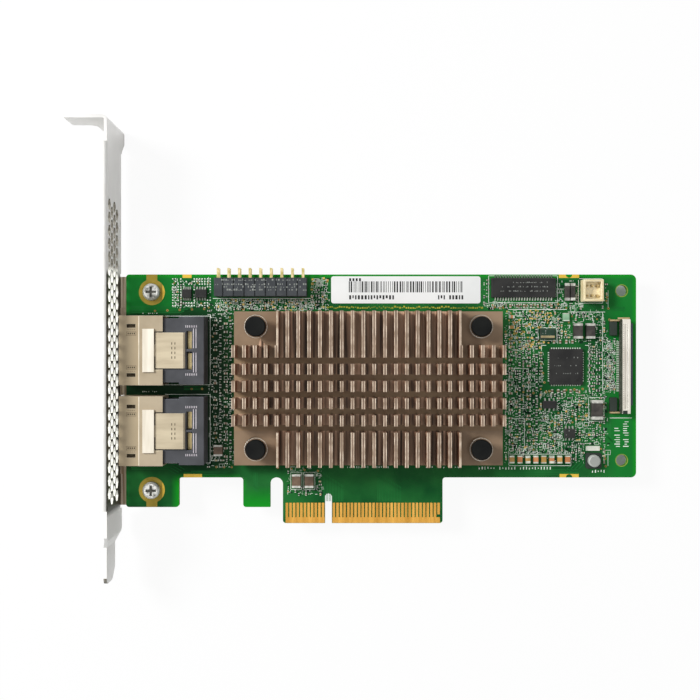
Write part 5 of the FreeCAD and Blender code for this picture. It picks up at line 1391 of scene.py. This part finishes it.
bm = bmesh.new()
picks = random.Random(515)
for *zone, strokes, boxes in STROKE_ZONES:
    # Dark patches: partly copper gaps, partly painted shade
    for patch in strewn(zone, strokes // 3, GAP_SIDES):
        mark(bm, *patch, VIA_LIFT - PRINT_STEP, 1)
    for patch in strewn(zone, strokes, STROKE_SIDES, True):
        mark(bm, *patch, VIA_LIFT + PRINT_STEP)
    for patch in strewn(zone, boxes, BOX_SIDES):
        outline(bm, *patch, VIA_LIFT + PRINT_STEP, BOX_LINE)
for column in range(DOT_COLUMNS):
    for row in range(DOT_ROWS):
        x = DOTS_FROM[0] + column * DOT_STEP
        y = DOTS_FROM[1] + row * DOT_STEP
        if is_free(x, y, DOT_HALF, DOT_HALF) and picks.random() < DOT_SHARE:
            mark(bm, (x - DOT_HALF, x + DOT_HALF), (y - DOT_HALF, y + DOT_HALF), VIA_LIFT + DOT_LIFT)
for *zone, pads in GOLD_PAD_ZONES:
    for patch in strewn(zone, pads, GOLD_PAD_SIDES):
        mark(bm, *patch, VIA_LIFT + 2 * PRINT_STEP, 3)
x = UNDER_LABEL[0]
while x < UNDER_LABEL[1]:
    width = picks.uniform(0.2, 0.6) * MM
    foot = UNDER_LABEL[2] + picks.choice((0, 0, 0.15, 0.3)) * MM
    mark(bm, (x, x + width), (foot, foot + picks.uniform(0.2, 0.5) * MM), VIA_LIFT + PRINT_STEP, 4)
    x += width + picks.uniform(0.08, 0.24) * MM
for left, right, low, high in FRAMES:
    outline(bm, (left * MM, right * MM), (low * MM, high * MM), VIA_LIFT, LINE)
for name in ("upper", "lower"):
    low, high = corners("cable_housing_" + name)
    along = (low.x + FRAME_FROM, high.x + FRAME_BEYOND)
    mark(bm, along, (high.y + FRAME_GAP, high.y + FRAME_GAP + LINE), VIA_LIFT)
    mark(bm, along, (low.y - FRAME_GAP - LINE, low.y - FRAME_GAP), VIA_LIFT)
    mark(bm, (along[1], along[1] + LINE), (low.y - FRAME_SIDE_GAP, high.y + FRAME_SIDE_GAP), VIA_LIFT)
for x_from, x_to, y_from, y_to in LONG_LINES:
    mark(bm, (x_from * MM, x_to * MM), (y_from * MM, y_to * MM), VIA_LIFT)
picks = random.Random(88)
for first_x, y, tall, strokes, step, upright in STROKE_ROWS:
    for place in range(strokes):
        if picks.random() < ROW_GAP_SHARE:
            continue
        width = picks.uniform(*ROW_WIDTHS) * step
        along = place * step
        foot = picks.choice(ROW_ENDS) * tall
        head = picks.choice(ROW_ENDS) * tall
        if upright:
            mark(bm, ((first_x + foot) * MM, (first_x + tall - head) * MM),
                 ((y + along) * MM, (y + along + width) * MM), VIA_LIFT)
        else:
            mark(bm, ((first_x + along) * MM, (first_x + along + width) * MM),
                 ((y + foot) * MM, (y + tall - head) * MM), VIA_LIFT)
for low, high in separate_solids("ground_pads"):
    if high.y - low.y > PAD_SHOWN and low.x > EDGE_PADS_FROM and high.x - low.x < WIDEST_PAD:
        if high.y > board_high.y - EDGE_NEAR:
            covered = (low.y - PAD_OVERLAP, high.y - PAD_SHOWN)
        else:
            covered = (low.y + PAD_SHOWN, high.y + PAD_OVERLAP)
        mark(bm, (low.x - PAD_OVERLAP, high.x + PAD_OVERLAP), covered, high.z + 2 * PRINT_STEP, 2)
show("silkscreen", bm, [silk, gap_and_shade, pad_cover, small_gold, yellow_ink], "white_ceramic")
